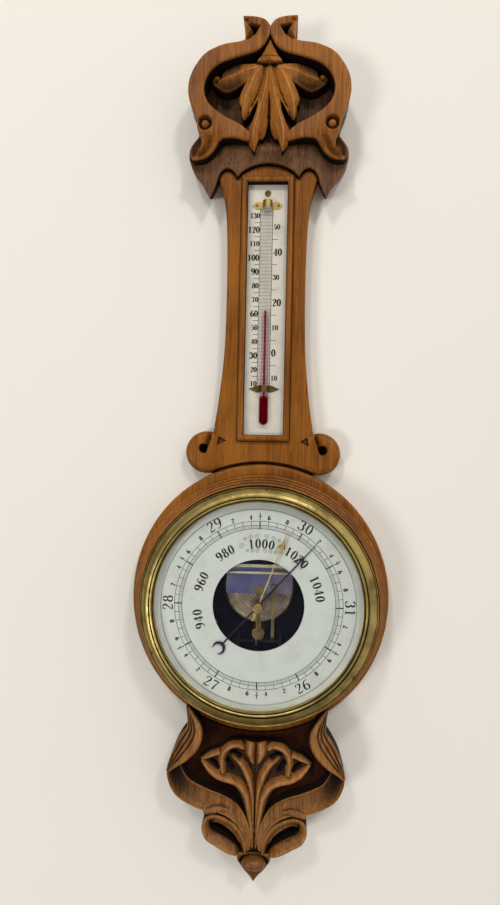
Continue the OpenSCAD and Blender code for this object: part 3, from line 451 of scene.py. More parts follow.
# %% Turn a ring
def turned(profile, x=0, z=0, steps=120, closed=True, stretch=1.0):
    """A ring from (radius, depth, tone) points round an axis that faces the viewer."""
    angles = np.radians(np.arange(steps) * 360 / steps)
    points = []
    rows = []
    count = 0
    for radius, depth, tone in profile:
        turns = angles if radius > 1e-6 else angles[:1]
        points.append(np.column_stack([
            x + radius * np.cos(turns), np.full(len(turns), depth),
            z + stretch * radius * np.sin(turns), np.full(len(turns), tone)]))
        rows.append(np.arange(count, count + len(turns)))
        count += len(turns)
    pairs = list(zip(rows, rows[1:])) + ([(rows[-1], rows[0])] if closed else [])
    faces = []
    for one, two in pairs:
        for i in range(steps):
            k = (i + 1) % steps
            corners = [one[i % len(one)], one[k % len(one)], two[k % len(two)], two[i % len(two)]]
            faces.append(list(dict.fromkeys(int(corner) for corner in corners)))
    return np.vstack(points), faces


print("a turned cone has", len(turned([(1, 0, 0), (0, 1, 0)], closed=False)[1]), "faces")

# %% [markdown]
# ## Oak
#
# Shaders are built from nodes. A few helpers place a node, link it and give back its output, so that a
# finish reads as a short list of sums.

# %% Helpers for shader nodes
def put(tree, kind, inputs=None, **settings):
    """A new node; each input is a plain value or the output of another node."""
    made = tree.nodes.new(kind)
    for key, value in settings.items():
        setattr(made, key, value)
    for key, value in (inputs or {}).items():
        if isinstance(value, bpy.types.NodeSocket):
            tree.links.new(value, made.inputs[key])
        else:
            made.inputs[key].default_value = value
    return made


def maths(tree, operation, a, b=0.0, clamp=False):
    """One sum on two values."""
    return put(tree, "ShaderNodeMath", {0: a, 1: b}, operation=operation, use_clamp=clamp).outputs[0]


def plus(tree, a, b):
    """Two values added."""
    return maths(tree, "ADD", a, b)


def minus(tree, a, b):
    """The second value taken from the first."""
    return maths(tree, "SUBTRACT", a, b)


def times(tree, a, b):
    """Two values multiplied."""
    return maths(tree, "MULTIPLY", a, b)


def vectors(tree, operation, a, b=(0, 0, 0), output="Vector"):
    """One sum on two vectors."""
    return put(tree, "ShaderNodeVectorMath", {0: a, 1: b}, operation=operation).outputs[output]


def blended(tree, factor, a, b):
    """Two colours mixed."""
    return put(tree, "ShaderNodeMix", {0: factor, 6: a, 7: b}, data_type="RGBA").outputs[2]


def ramp(tree, value, low, high):
    """A value spread so that low becomes 0 and high becomes 1."""
    made = put(tree, "ShaderNodeMapRange", {"Value": value, "From Min": low, "From Max": high})
    made.interpolation_type = "SMOOTHSTEP"
    return made.outputs[0]


def stretched(tree, x, y, z):
    """The object's own coordinates, scaled differently along each axis."""
    where = put(tree, "ShaderNodeTexCoord").outputs["Object"]
    return vectors(tree, "MULTIPLY", where, (x, y, z))


def noise(tree, where, detail=3.0, rough=0.5, twist=0.0):
    """A noise value between 0 and 1."""
    return put(tree, "ShaderNodeTexNoise", {
        "Vector": where, "Scale": 1.0, "Detail": detail, "Roughness": rough, "Distortion": twist,
    }).outputs[0]


def shader_group(name, inputs, outputs):
    """An empty group with named sockets."""
    tree = bpy.data.node_groups.new(name, "ShaderNodeTree")
    for label, kind, value in inputs:
        socket = tree.interface.new_socket(label, in_out="INPUT", socket_type="NodeSocket" + kind)
        socket.default_value = value
    for label, kind in outputs:
        tree.interface.new_socket(label, in_out="OUTPUT", socket_type="NodeSocket" + kind)
    return tree, tree.nodes.new("NodeGroupInput").outputs, tree.nodes.new("NodeGroupOutput").inputs


print("shader groups before the oak:", len(bpy.data.node_groups))

# %% [markdown]
# Old oak has long vertical fibres, dark open pores and broad bands of its yearly growth. The photograph shows
# a red-brown polish, darker in the hollows and paler on the ridges. Several oak pieces need the same grain in
# other tints, so the grain is one shader group: stretched noise for bands, fibres and pores, and the carved
# tone, which darkens recesses with stain and painted shade and pales ridges with wear and painted highlight.

# %% The grain of oak
# Rubbed oak, the colour of wear and of painted highlight on ridges.
RUBBED_AND_LIT_OAK = (0.55, 0.3, 0.11, 1)
oak_grain, given, result = shader_group(
    "oak_grain",
    [("Pale", "Color", (0.3, 0.12, 0.025, 1)), ("Deep", "Color", (0.12, 0.035, 0.005, 1)),
     ("Stain", "Color", (0.012, 0.004, 0.002, 1)), ("Wear", "Float", 0.5), ("Stipple", "Float", 0.0)],
    [("Color", "Color"), ("Roughness", "Float"), ("Height", "Float")])
tree = oak_grain
bands = noise(tree, stretched(tree, 90, 60, 6), detail=4, rough=0.6, twist=1.2)
fibres = noise(tree, stretched(tree, 620, 500, 15), detail=3, rough=0.6)
pores = ramp(tree, noise(tree, stretched(tree, 1300, 900, 48), detail=1), 0.58, 0.72)
cloud = noise(tree, stretched(tree, 16, 16, 9), detail=2)
shade = plus(tree, times(tree, bands, 0.5), times(tree, fibres, 0.5))
shade = plus(tree, shade, times(tree, minus(tree, cloud, 0.5), 0.5))
wood = blended(tree, ramp(tree, shade, 0.3, 0.72), given["Deep"], given["Pale"])
wood = blended(tree, times(tree, pores, 0.55), wood, given["Stain"])
tone = put(tree, "ShaderNodeAttribute", attribute_name="tone").outputs["Fac"]
patina = plus(tree, tone, times(tree, minus(tree, fibres, 0.5), 0.3))
# Below zero the tone blends towards the stain colour as stain and painted shade, above zero towards rubbed
# oak as wear and painted highlight.
hollow = ramp(tree, times(tree, patina, -1.0), 0.06, 0.95)
raised = ramp(tree, patina, 0.1, 0.9)
wood = blended(tree, hollow, wood, given["Stain"])
worn_and_lit = blended(tree, 0.55, wood, RUBBED_AND_LIT_OAK)
wood = blended(tree, times(tree, raised, given["Wear"]), wood, worn_and_lit)
dots = noise(tree, stretched(tree, 620, 620, 620), detail=1)
dots = times(tree, ramp(tree, dots, 0.35, 0.65), given["Stipple"])
height = minus(tree, times(tree, fibres, 0.5), times(tree, pores, 0.6))
dull = plus(tree, times(tree, fibres, 0.2), times(tree, hollow, 0.5))
tree.links.new(wood, result["Color"])
tree.links.new(plus(tree, dull, 0.27), result["Roughness"])
tree.links.new(plus(tree, height, dots), result["Height"])
print("oak grain:", len(tree.nodes), "shader nodes")

# %% [markdown]
# The pieces were stained and polished differently: the neck is a warm brown, the ground of the crest is grey
# and stippled, the pendant is darker, with worn ridges that also carry painted highlights, and its field is
# almost black. A finish is the same grain with its own tints, and the fine relief comes from the grain's
# height.

# %% Oak finishes
OAK_RELIEF = 0.35
OAK_RELIEF_DEPTH = 0.0003
# The darkest colour of the oak: old stain in the pores, and painted shade where the tone is below zero.
STAIN_AND_SHADE = (0.008, 0.003, 0.0015, 1)


def new_finish(name):
    """A material and its shader."""
    made = bpy.data.materials.new(name)
    made.use_nodes = True
    return made, made.node_tree, made.node_tree.nodes["Principled BSDF"]


def use_group(tree, group, **values):
    """A shader group placed in a material with its own values."""
    made = put(tree, "ShaderNodeGroup", node_tree=group)
    for label, value in values.items():
        made.inputs[label].default_value = value
    return made.outputs


def bump(tree, shader, height, strength, distance):
    """Fine relief on a shader from a height value."""
    made = put(tree, "ShaderNodeBump", {"Height": height, "Strength": strength, "Distance": distance})
    tree.links.new(made.outputs[0], shader.inputs["Normal"])


def oak_finish(name, pale, deep, stain_and_shade=STAIN_AND_SHADE, wear_and_highlight=0.5, stipple=0.0, shine=0.12):
    """Polished oak in one tint."""
    made, tree, shader = new_finish(name)
    grain = use_group(tree, oak_grain, Pale=pale, Deep=deep, Stain=stain_and_shade, Wear=wear_and_highlight, Stipple=stipple)
    tree.links.new(grain["Color"], shader.inputs["Base Color"])
    tree.links.new(grain["Roughness"], shader.inputs["Roughness"])
    shader.inputs["Specular IOR Level"].default_value = shine
    bump(tree, shader, grain["Height"], OAK_RELIEF, OAK_RELIEF_DEPTH)
    return made


neck_oak = oak_finish("neck_oak", (0.3, 0.108, 0.013, 1), (0.14, 0.042, 0.004, 1))
carved_oak = oak_finish("carved_oak", (0.33, 0.12, 0.017, 1), (0.135, 0.04, 0.005, 1), wear_and_highlight=0.6)
leaf_oak = oak_finish("leaf_oak", (0.4, 0.155, 0.028, 1), (0.185, 0.058, 0.009, 1), wear_and_highlight=0.9)
ground_oak = oak_finish("ground_oak", (0.19, 0.09, 0.042, 1), (0.07, 0.03, 0.014, 1), stipple=0.5, shine=0.1)
pendant_oak = oak_finish("pendant_oak", (0.3, 0.128, 0.032, 1), (0.11, 0.041, 0.009, 1), wear_and_highlight=0.9, shine=0.18)
field_oak = oak_finish("field_oak", (0.06, 0.018, 0.008, 1), (0.03, 0.008, 0.004, 1),
                       stain_and_shade=(0.026, 0.008, 0.004, 1), stipple=1.0, shine=0.03)
spray_oak = oak_finish("spray_oak", (0.35, 0.145, 0.036, 1), (0.14, 0.052, 0.011, 1), wear_and_highlight=0.9, shine=0.24)
boss_oak = oak_finish("boss_oak", (0.19, 0.073, 0.011, 1), (0.08, 0.025, 0.003, 1), wear_and_highlight=0.6, shine=0.3)
print("oak finishes:", [made.name for made in bpy.data.materials if made.name.endswith("_oak")])

# %% [markdown]
# ## The neck
#
# The neck is one oak board with softened edges. Its top is cut to meet the crest, and its foot is arched
# to sit on the round. The outline follows the CAD board: free curves for the sides, and true arcs for the
# ears and the foot, so that the joints close without a gap.

# %% Outline of the neck
GAP = 0.2
ROUND_Z = -508.5
ROUND_HALF = np.array([130.3, 135.8])
EAR = np.array([57.5, -361.5])
EAR_R = 21.5
shoulder_end = [50.5, -83]
crest_joint = joined(
    smooth([[0, -69], [12, -70.7], [24, -76], [31, -83]]),
    smooth([[31, -83], [35.5, -76.5], [41.5, -74], [47, -77], shoulder_end]))
neck_side = smooth([
    shoulder_end, [44.5, -103], [41.7, -124], [40.3, -158], [40, -205], [41, -253], [43.5, -286],
    [47.5, -319], [52, -345], EAR])
neck_side = neck_side[np.hypot(*(neck_side - EAR).T) > EAR_R]
ear_start = math.degrees(math.atan2(*(neck_side[-1] - EAR)[::-1]))
round_joint = ROUND_HALF + GAP
foot_angle = math.degrees(math.asin((EAR[1] - EAR_R - ROUND_Z) / round_joint[1]))
foot_arch = arc(0, 0, 1, foot_angle, 90, 16) * round_joint + [0, ROUND_Z]
ear_arc = arc(*EAR, EAR_R, ear_start, -90, 40)
neck_half = joined(crest_joint - [0, GAP], neck_side[1:], ear_arc, foot_arch)
print("neck outline:", len(neck_half), "points a side")

# %% [markdown]
# At the foot two scroll ears curl up against the neck: a saw cut runs down to a drilled eye, and a
# three-sided chip is cut beside each. Modelling every cut with a boolean would leave hard edges, so the
# face is a sum of small cuts, each one a short formula.

# %% Carve the neck
CASE_FRONT = 20.0
SCALE_MID = -215.3
BEAD_HALF = np.array([26.9, 134.6])
BEAD_FLOOR = 13.0
EDGE_TOP = np.array([47.1, -329.3])
EDGE_OUT = np.array([0.95, 0.312])
EYE = np.array([60.6, -357.7])
EYE_R = 4.5
TUCK_WIDE = 5.5
TUCK_TOP = -334.0
EAR_SOFT = 8.0
SIDE_SOFT = 3.2
POCKET_SOFT = 0.7
FOOT_GROOVE = 57.0
chip = np.array([[45.1, -344.7], [37, -349.3], [47.1, -354.3]])


def rectangle(half, z):
    """Corners of an upright rectangle on the middle line."""
    return np.array([[-half[0], -half[1]], [half[0], -half[1]], half, [-half[0], half[1]]]) + [0, z]


def within(triangle, x, z):
    """How far points lie inside a triangle, from its nearest edge."""
    least = np.full(len(x), np.inf)
    (ax, az), (bx, bz), (cx, cz) = triangle
    turn = np.sign((bx - ax) * (cz - az) - (bz - az) * (cx - ax))
    for a, b in zip(triangle, np.roll(triangle, -1, axis=0)):
        along = turn * (b - a) / np.linalg.norm(b - a)
        least = np.minimum(least, (z - a[1]) * along[0] - (x - a[0]) * along[1])
    return np.clip(least, 0, None)


def neck_face(x, z, edge):
    """Soft edges, ears tucked behind the neck's side, drilled eyes, chips and a grooved foot."""
    side = np.abs(x)
    from_pocket = np.maximum(side - BEAD_HALF[0], np.abs(z - SCALE_MID) - BEAD_HALF[1])
    ear = np.hypot(side - EAR[0], z - EAR[1])
    softness = np.where(ear < EAR_R + 0.5, EAR_SOFT, SIDE_SOFT)
    softness = np.where(from_pocket < edge + 0.01, POCKET_SOFT, softness)
    outside = (side - EDGE_TOP[0]) * EDGE_OUT[0] + (z - EDGE_TOP[1]) * EDGE_OUT[1]
    beyond = slope(outside, 0, 0.5)
    tuck = beyond * slope(outside, TUCK_WIDE, 0) * slope(z, EYE[1] - 2, EYE[1] + 1)
    tuck *= slope(z, TUCK_TOP, TUCK_TOP - 3)
    drilled = beyond * below(np.hypot(side - EYE[0], z - EYE[1]), EYE_R, 5)
    chipped = within(chip, side, z)
    stabbed = slope(chipped, 0, 0.9)
    arch = (np.hypot(x / round_joint[0], (z - ROUND_Z) / round_joint[1]) - 1) * ROUND_HALF[1]
    groove = slope(arch, RINGS[-1], RINGS[-2]) * slope(side, FOOT_GROOVE, FOOT_GROOVE - 6)
    depth = CASE_FRONT - 0.8 * rounded(edge, softness) + tooled(x, z, 9, 0.12)
    depth -= np.maximum(7 * tuck, 11 * drilled) + 3.4 * stabbed + 3.5 * groove
    # Painted highlight on the softened edges; painted shade in the wedge where the ears tuck under, in the
    # drilled eyes, in the chips and in the groove at the foot.
    tone = 0.3 * hump(edge, 1.0, 1.2) * (1 - groove) - 0.8 * tuck - 1.2 * drilled - 0.8 * groove
    return depth, tone - stabbed * (0.45 + 0.8 * hump(chipped, 0.5, 0.4))


ear_details = [(side * x, z, 10, 0.75) for side in (-1, 1) for x, z in ((58, -354), (53, -342), (43, -349.5))]
neck = carve(both_sides(neck_half), 0, neck_face, 2.4, holes=[rectangle(BEAD_HALF, SCALE_MID)],
             floor=BEAD_FLOOR, details=ear_details)
add_piece("neck", neck, neck_oak, "case", "oak", "neck_board")

# %% [markdown]
# ## The round and its moulding
#
# The dial sits on an oak round, a little taller than wide. It is a ring with a softened edge, and a thin
# floor closes its well behind the movement, with a hole for the adjusting screw.

# %% The round
DIAL_Z = -510.0
WELL_R = 66.0
FLOOR = 6.0
ROUND_EDGE = 3.5
ADJUSTING_HOLE = np.array([0, DIAL_Z + 12])
ADJUSTING_HOLE_R = 5.0


def round_face(x, z, edge):
    """Depth and tone of the round's front: only its outer edge is softened."""
    rim = np.where(np.hypot(x, z - DIAL_Z) > WELL_R + 20, edge, ROUND_EDGE)
    # The softened outer edge takes a painted highlight.
    return CASE_FRONT - rounded(rim, ROUND_EDGE), 0.3 * hump(rim, 1.2, 1.2)


def floor_face(x, z, edge):
    """A flat floor with a darker tone."""
    return np.full(len(x), FLOOR), np.full(len(x), -0.5)


round_outline = arc(0, 0, 1, 0, 357, 119) * ROUND_HALF + [0, ROUND_Z]
well = arc(0, DIAL_Z, WELL_R, 0, 357, 119)
adjusting_hole = arc(*ADJUSTING_HOLE, ADJUSTING_HOLE_R, 0, 352, 44)
oak_ring = carve(round_outline, 0, round_face, 5, holes=[well])
oak_floor = carve(well, 0, floor_face, 8, holes=[adjusting_hole])
add_piece("oak_round", merged(oak_ring, oak_floor), neck_oak, "case", "oak", "dial_round")

# %% [markdown]
# On the round lies a turned moulding with four reeds. The reeds are quarter rounds with a narrow quirk
# between them, as a turner cuts them, and the shelf on top of them carries the bezel.

# %% The moulding
BEZEL_SEAT = 47.0
DIAL_BACK = 44.5
SEAT_R = 109.1
SHELF_R = 117.0
FOOT_R = 126.5
REEDS = 4
QUIRK = 0.45
QUIRK_DEEP = 0.8
reed_wide = (FOOT_R - SHELF_R) / REEDS
reed_drop = (BEZEL_SEAT - CASE_FRONT) / REEDS
nose = reed_wide - QUIRK
moulding_profile = [
    (WELL_R, CASE_FRONT, 0), (WELL_R, DIAL_BACK, 0), (SEAT_R, DIAL_BACK, 0), (SEAT_R, BEZEL_SEAT, -1)]
for k in range(REEDS):
    top = BEZEL_SEAT - k * reed_drop
    start = SHELF_R + k * reed_wide
    # The quirks are painted dark as shade, and the crown of each reed takes a painted highlight.
    quirk_tone = -0.5 if k else -1
    moulding_profile.append((start + 0.05, top - QUIRK_DEEP if k else top, quirk_tone))
    moulding_profile.append((start + QUIRK, top - QUIRK_DEEP, quirk_tone))
    for radius, depth in arc(start + QUIRK, top - nose, nose, 90, 0, 8):
        moulding_profile.append((radius, depth, 0.35 if depth > top - 1.2 else 0))
    moulding_profile.append((start + reed_wide, CASE_FRONT if k == REEDS - 1 else top - reed_drop, -0.5))
moulding = turned(moulding_profile, 0, DIAL_Z, 180)
add_piece("reeded_moulding", moulding, neck_oak, "case", "oak", "dial_moulding")

# %% [markdown]
# ## The crest
#
# Behind the carving of the crest lies a dark stippled ground, hollow within the scrolls and flat on the
# apron below them. It is a carved board with a pocket behind for the hanging plate. The rear of its two
# lower tips is cut under, so that they look thin from the side.

# %% Ground of the crest
CREST_FRONT = 26.0
SUNK = 7.0
APRON_TOP = -52.0
UNDERCUT = 9.0
UNDERCUT_TOP = -60.0
UNDERCUT_X = 50.0
crest_half = joined(
    smooth([[0, 56], [4.5, 61.5], [11, 65.5], [26.6, 66.8]]),
    smooth([[26.6, 66.8], [25, 52], [25.2, 42.4]]),
    smooth([[25.2, 42.4], [42, 38.3], [57, 32.8], [67.5, 24.5], [76.5, 11], [79.5, -4], [77, -17],
            [72, -31], [71, -42]]),
    smooth([[71, -42], [79, -53], [80.5, -61], [79.5, -68], [75, -79], [67.5, -89], [58.5, -105]]),
    smooth([[58.5, -105], [53, -92], shoulder_end]))


def crest_ground(x, z, edge):
    """A hollow within the scrolls, painted dark as shade and darkest under the rolls at the top, above an
    apron whose rounded edge has a painted highlight.
    """
    side = np.abs(x)
    upper = 1 - below(z, APRON_TOP, 0.4)
    hollow = upper * SUNK * slope(edge, 2, 9)
    bulge = 5 * hump(z, -55, 9) * slope(side, 52, 44)
    scooped = 4 * hump(side, 73, 4) * hump(z, -61, 7)
    depth = CREST_FRONT - hollow + bulge - scooped - rounded(edge, 2.2) + tooled(x, z, 1.3, 0.2 * upper)
    # Painted shade in the hollow, deepest under the rolls, and a painted highlight on the apron's edge.
    rim = hump(edge, 0.9, 0.9)
    under_roll_shade = slope(z, 8, 22)
    return depth, 0.1 - upper * (0.55 + 0.5 * under_roll_shade) + 0.35 * rim * (1 - upper) - 0.08 * scooped


def crest_walls(x, z):
    """The underside of the apron is painted black as shade, the other sides are like the front."""
    under = (np.abs(x) < 51) | ((z < -84) & (np.abs(x) < 58.4))
    return np.where(under & (z < -60), SHADE_BLACK, PLAIN)


crest_outline = both_sides(joined(crest_half, crest_joint[::-1]))
hanger_pockets = [(rectangle((15.2, 22.2), 0), 2.0), (rectangle((8, 12), 0), 10.0)]
crest_board = carve(crest_outline, 0, crest_ground, 1.7, pockets=hanger_pockets, walls=crest_walls)
crest_points = crest_board[0]
rear = (crest_points[:, 1] == 0) & (np.abs(crest_points[:, 0]) > UNDERCUT_X)
crest_points[rear, 2] += UNDERCUT * slope(crest_points[rear, 2], UNDERCUT_TOP, UNDERCUT_TOP - 45)
add_piece("crest_ground", crest_board, ground_oak, "case", "dark_oak", "crest_block")

# %% [markdown]
# Two broad scrolls rise to rolled ends at the top, sweep out and down, and run in as horns behind a hanging
# leaf. A lower branch curls outwards under each. They are flat bands of changing width with forks, which no
# sweep can give, so each scroll is a carved board with its own outline, and its sides that face the hollow
# are painted black as shade.

# %% Scrolls of the crest
CREST_RISE = 19.0
CARVED_BACK = CREST_FRONT - SUNK - 2
BUTTON = np.array([62.5, -37.6])
BUTTON_GROOVE_R = 6.6
roll_tip = [26.8, 67]
roll_top = [0.15, 57.5]
horn_top = [18.3, -44]
horn_foot = [18.8, -53.5]
branch_tip = [78.5, -68]
roll_foot = [25.4, 43.6]
inner_side = smooth([
    roll_top, [0.15, 50], [2.2, 45], [6.3, 38], [14.6, 32], [33, 26.7], [48.4, 21], [59.3, 11.4], [64, -1.7],
    [61.4, -14.7], [52.7, -24.3], [40.7, -31.3], [28.9, -36.5], horn_top])
horn_end = smooth([horn_top, [16.9, -48.5], horn_foot])
under_side = smooth([
    horn_foot, [31.5, -51.2], [40.6, -51.4], [47.2, -53.5], [51, -59], [56, -66], [64, -71], [73, -71.5],
    branch_tip])
outer_side = smooth([
    branch_tip, [72, -66], [67.5, -61], [66, -55], [67, -48.5], [70, -43], [71, -36], [72.8, -29.4],
    [77.6, -17.7], [80, -4.7], [77.8, 9.8], [70.7, 23], [61.7, 32.3], [48.8, 38.6], [38.3, 41], [30, 42.2],
    roll_foot])
scroll_outline = joined(
    smooth([roll_tip, [14, 66.3], [5, 63.2], roll_top]), inner_side, horn_end, under_side, outer_side,
    smooth([roll_foot, [24.8, 51], roll_tip]))[:-1]
shaded_side = joined(inner_side, horn_end, under_side)
pit = np.array([[22.3, 59.8], [15.2, 46.8], [9, 57]])
roll_cut = np.array([[16, 51], [22, 46]])
branch_hollow = smooth([[57, -52], [60, -60], [66, -66], [75, -68.8]])


def scroll_face(x, z, edge):
    """A flat band with soft edges, a pit in its roll, a groove round the button and a gouged lower branch."""
    here = np.stack([x, z], axis=1)
    horn = slope(x, 56, 18) * (z < -18)
    branch = slope(z, -46, -70) * (x > 46)
    sunk = np.clip(3.4 * within(pit, x, z), 0, 14)
    cut = 6 * slope(line_distance(roll_cut, here)[0], 3.2, 0)
    lit_flank = slope(x, 20.5, 22.5) * (z > 44) * (z < 64)
    ring = below(np.hypot(x - BUTTON[0], z - BUTTON[1]), BUTTON_GROOVE_R, 4)
    gouge = hump(line_distance(branch_hollow, here)[0], 0, 2.6) * slope(z, -48, -54)
    rise = CREST_RISE - 6 * horn - 5 * branch - np.maximum(sunk, cut) - 6 * ring - 5 * gouge - 3 * lit_flank
    rise += tooled(x, z, 6, 0.22) - rounded(edge, 2.0)
    # Painted shade in the pit, the cut, the button's groove, the gouge and on the rolled top; painted
    # highlight on the edges and on the lit flank of the roll.
    tone = 0.4 * hump(edge, 1.1, 0.9) - 0.12 * sunk - 0.03 * cut - 0.8 * ring - 0.5 * gouge
    roll_shade = 0.35 * slope(z, 40, 48) * slope(edge, 0, 3)
    return CREST_FRONT + rise, tone - roll_shade + 0.4 * lit_flank * (sunk < 0.5)


def scroll_walls(x, z):
    """The sides that face the hollow are painted black as shade, the outer ones are like the front."""
    inner = line_distance(shaded_side, np.stack([x, z], axis=1))[0] < 0.4
    return np.where(inner, SHADE_BLACK, PLAIN)


scroll_details = [(*BUTTON, 9, 0.8), (16, 54, 13, 0.9), (65, -62, 12, 0.9)]
scroll = carve(scroll_outline, CARVED_BACK, scroll_face, 1.5, details=scroll_details, walls=scroll_walls)
add_piece("scroll_right", scroll, carved_oak, "case", "oak", "crest_scroll_right", "crest_curl_right")
add_piece("scroll_left", flipped(scroll), carved_oak, "case", "oak", "crest_scroll_left", "crest_curl_left")

# %% [markdown]
# A small round button sits in the groove at the eye of each scroll. It is turned, with a domed end.

# %% Buttons
BUTTON_R = 4.3
BUTTON_BACK = 25.0
BUTTON_SIDE = 37.0
BUTTON_EDGE = 40.5
dome_r = BUTTON_R - 0.5
# The button's side is painted dark as shade and its dome takes a painted highlight.
button_profile = [
    (0, BUTTON_BACK, RECESS), (BUTTON_R, BUTTON_BACK, RECESS), (BUTTON_R, BUTTON_SIDE, -0.5),
    (dome_r, BUTTON_EDGE, 0.1)]
button_profile += [(radius, depth, 0.4) for radius, depth in arc(0, BUTTON_EDGE, dome_r, 20, 90, 6)]
button = turned(button_profile, *BUTTON, steps=32, closed=False)
add_piece("buttons", merged(button, flipped(button)), carved_oak, "case", "oak", "crest_buttons")

# %% [markdown]
# ## Leaf and bud
#
# The leaf has three lobes a side: a fat one to the side with a small rolled tip, and two that hang with
# pointed tips. Each lobe is a ridge along its own line, and the leaf's face is the highest of them at each
# point, so the valleys between the lobes fall out by themselves.

# %% Ridges along lines
def ridge(points, line, widths, heights, sharpness, fall):
    """Height of a lobe: full on its line and falling to its side, and how near the point is to the line."""
    path = smooth(line, 8)
    gap, place = line_distance(path, points)
    stations = np.linspace(0, 1, len(widths))
    off = gap / np.interp(place, stations, widths)
    return np.interp(place, stations, heights) * (1 - np.clip(off, 0, 1.6) ** sharpness * fall), off


def highest(heights, offs):
    """The highest ridge at each point, the next one, and how far the point is off the highest one's line."""
    order = np.sort(heights, axis=0)
    off = np.take_along_axis(np.array(offs), np.argmax(heights, axis=0)[None], axis=0)[0]
    return order[-1], order[-2], off


example = ridge(np.array([[0.0, 1.0]]), [[-1, 0], [1, 0]], [2, 2], [4, 4], 1.0, 0.5)
print("half way down a ridge 4 high the height is", example[0][0])

# %% [markdown]
# The outline goes round the lobes in runs that meet at the tips and notches. A bright vein, worn and with a
# painted highlight, lies along each hanging lobe, the valleys are painted dark as shade, and the side lobes
# are painted darker because they lie in the shade of the scrolls.

# %% The hanging leaf
LEAF_LIFT = 3.0
ROLLED_TIP = np.array([52.5, 7.2])
leaf_half = joined(
    smooth([[13, 21], [30, 22], [39, 18.5], [45.5, 14], [49.5, 11.5]]),
    smooth([[49.5, 11.5], [54.5, 13.5], [57.8, 8], [55, 0.5], [46, -5.5], [37, -5], [28, 0], [22, 5]]),
    smooth([[22, 5], [26.5, -4], [30, -12.5], [28.8, -20]]),
    smooth([[28.8, -20], [27.4, -22.5], [27.6, -28], [25.2, -34.8]]),
    smooth([[25.2, -34.8], [20, -29], [15.5, -21], [11, -15]]),
    smooth([[11, -15], [12.4, -26], [16.5, -37], [20.5, -45], [20.8, -53], [18, -61], [13.5, -67]]),
    smooth([[13.5, -67], [11.5, -59], [9, -52.5], [6, -51.5], [2.5, -44], [0.6, -34]])) + [0, LEAF_LIFT]
LOBES = [
    ([[8, 18], [24, 13], [38, 6], [48, 3], [52, 5]], [8, 10, 10.5, 8, 5], [12.5, 14, 15, 14.5, 13]),
    ([[8, 17], [14, 9], [19.5, -4], [24, -18], [25.2, -33]], [6, 8.5, 9.5, 7, 2], [13, 14.5, 15, 14.5, 13]),
    ([[1, 17], [2.5, 4], [5.5, -12], [11.5, -34], [15, -50], [13.8, -66]], [4, 5, 7, 9, 7, 2],
     [14, 15.5, 16, 15.5, 14.5, 13]),
]


def leaf_face(x, z, edge):
    """The highest lobe at each point, with two facets beside its vein and a valley where two lobes meet."""
    z = z - LEAF_LIFT
    side = np.abs(x)
    here = np.stack([side, z], axis=1)
    heights, offs = zip(*[ridge(here, *lobe, sharpness=1.3, fall=0.38) for lobe in LOBES])
    first, second, off = highest(heights, offs)
    valley = np.clip((8 - z) / 22, 0.12, 1) * hump(first, second, 0.6) * slope(z, 18, 12)
    middle = hump(x, 0, 0.8) * slope(z, -6, -18)
    deep = np.maximum(valley, middle)
    vein = hump(off, 0, 0.13)
    curled = np.hypot(side - ROLLED_TIP[0], z - ROLLED_TIP[1])
    rolled = 1.8 * hump(curled, 0, 2.6) - 2.2 * hump(curled, 4.4, 0.8) * (side < ROLLED_TIP[0] + 1.5)
    rise = first + rolled + 0.5 * vein - 3.5 * deep + tooled(x, z, 3, 0.2) - 0.8 * rounded(edge, 1.2)
    shaded_side_lobe = slope(side, 20, 30) * slope(z, -12, -4)
    # Painted highlight on the vein, the rolled tip and the edges; painted shade away from the vein, in the
    # valleys and on the side lobes.
    tone = 0.7 * vein * (1 - 0.8 * shaded_side_lobe) - 0.3 * off - 0.9 * deep + 0.15 * np.clip(rolled, -3, 1)
    return CREST_FRONT + rise, tone - 0.5 * shaded_side_lobe + 0.25 * hump(edge, 0.9, 0.7)


leaf = carve(both_sides(leaf_half), CARVED_BACK, leaf_face, 0.95, walls=black_walls)
add_piece("hanging_leaf", leaf, leaf_oak, "case", "oak", "crest_leaf")

# %% [markdown]
# Over the leaf sits a pointed bud with one ridge down its front and a collar, whose lower lip is bowed and
# cut under. Its cuts follow the bow of the lip.

# %% The bud
BUD_TIP = 45.4
COLLAR_Z = 26.8
LIP_Z = 21.2
LIP_BOW = 0.016
bud_half = np.array([
    [0, BUD_TIP], [9.6, COLLAR_Z + 0.3], [10.8, COLLAR_Z - 0.6], [14.4, LIP_Z + 0.4], [14, LIP_Z - 1.1]])


def bud_face(x, z, edge):
    """A cone with one ridge, over a collar whose lower edge is cut under."""
    side = np.abs(x)
    bowed = z - LIP_BOW * side**2
    cone = 15 + 3.5 * slope(z, BUD_TIP, BUD_TIP - 18) - 0.36 * side
    collar = 1.8 * below(bowed, COLLAR_Z, 6)
    under = below(bowed, LIP_Z, 6)
    ditch = hump(bowed, COLLAR_Z + 0.5, 0.6)
    line = hump(side, 0, 0.6)
    rise = cone + collar - 1.6 * ditch - 5 * under + 0.3 * line - 0.7 * rounded(edge, 1.2)
    # Painted highlight on the ridge; painted shade in the ditch and under the lip.
    return CREST_FRONT + rise, 0.55 * line - 1.1 * ditch - 1.1 * under


bud = carve(both_sides(bud_half), CARVED_BACK, bud_face, 0.7, walls=black_walls)
add_piece("bud", bud, carved_oak, "case", "oak", "crest_bud")

# %% [markdown]
# ## The pendant
#
# Below the dial hangs a darker carved block. Its field is cut deep and almost black, and its back is bare
# oak. Its top is an arc of the round above it. Heights are measured down from the top of the ribbons.

# %% Field of the pendant
PENDANT_Z = -624.0
BASE_FRONT = 20.0
FACES_WALL = 0.9


def hung(rows):
    """Rows whose second number is the drop below the top of the ribbons."""
    rows = np.array(rows, dtype=float)
    rows[:, 1] = PENDANT_Z - rows[:, 1]
    return rows


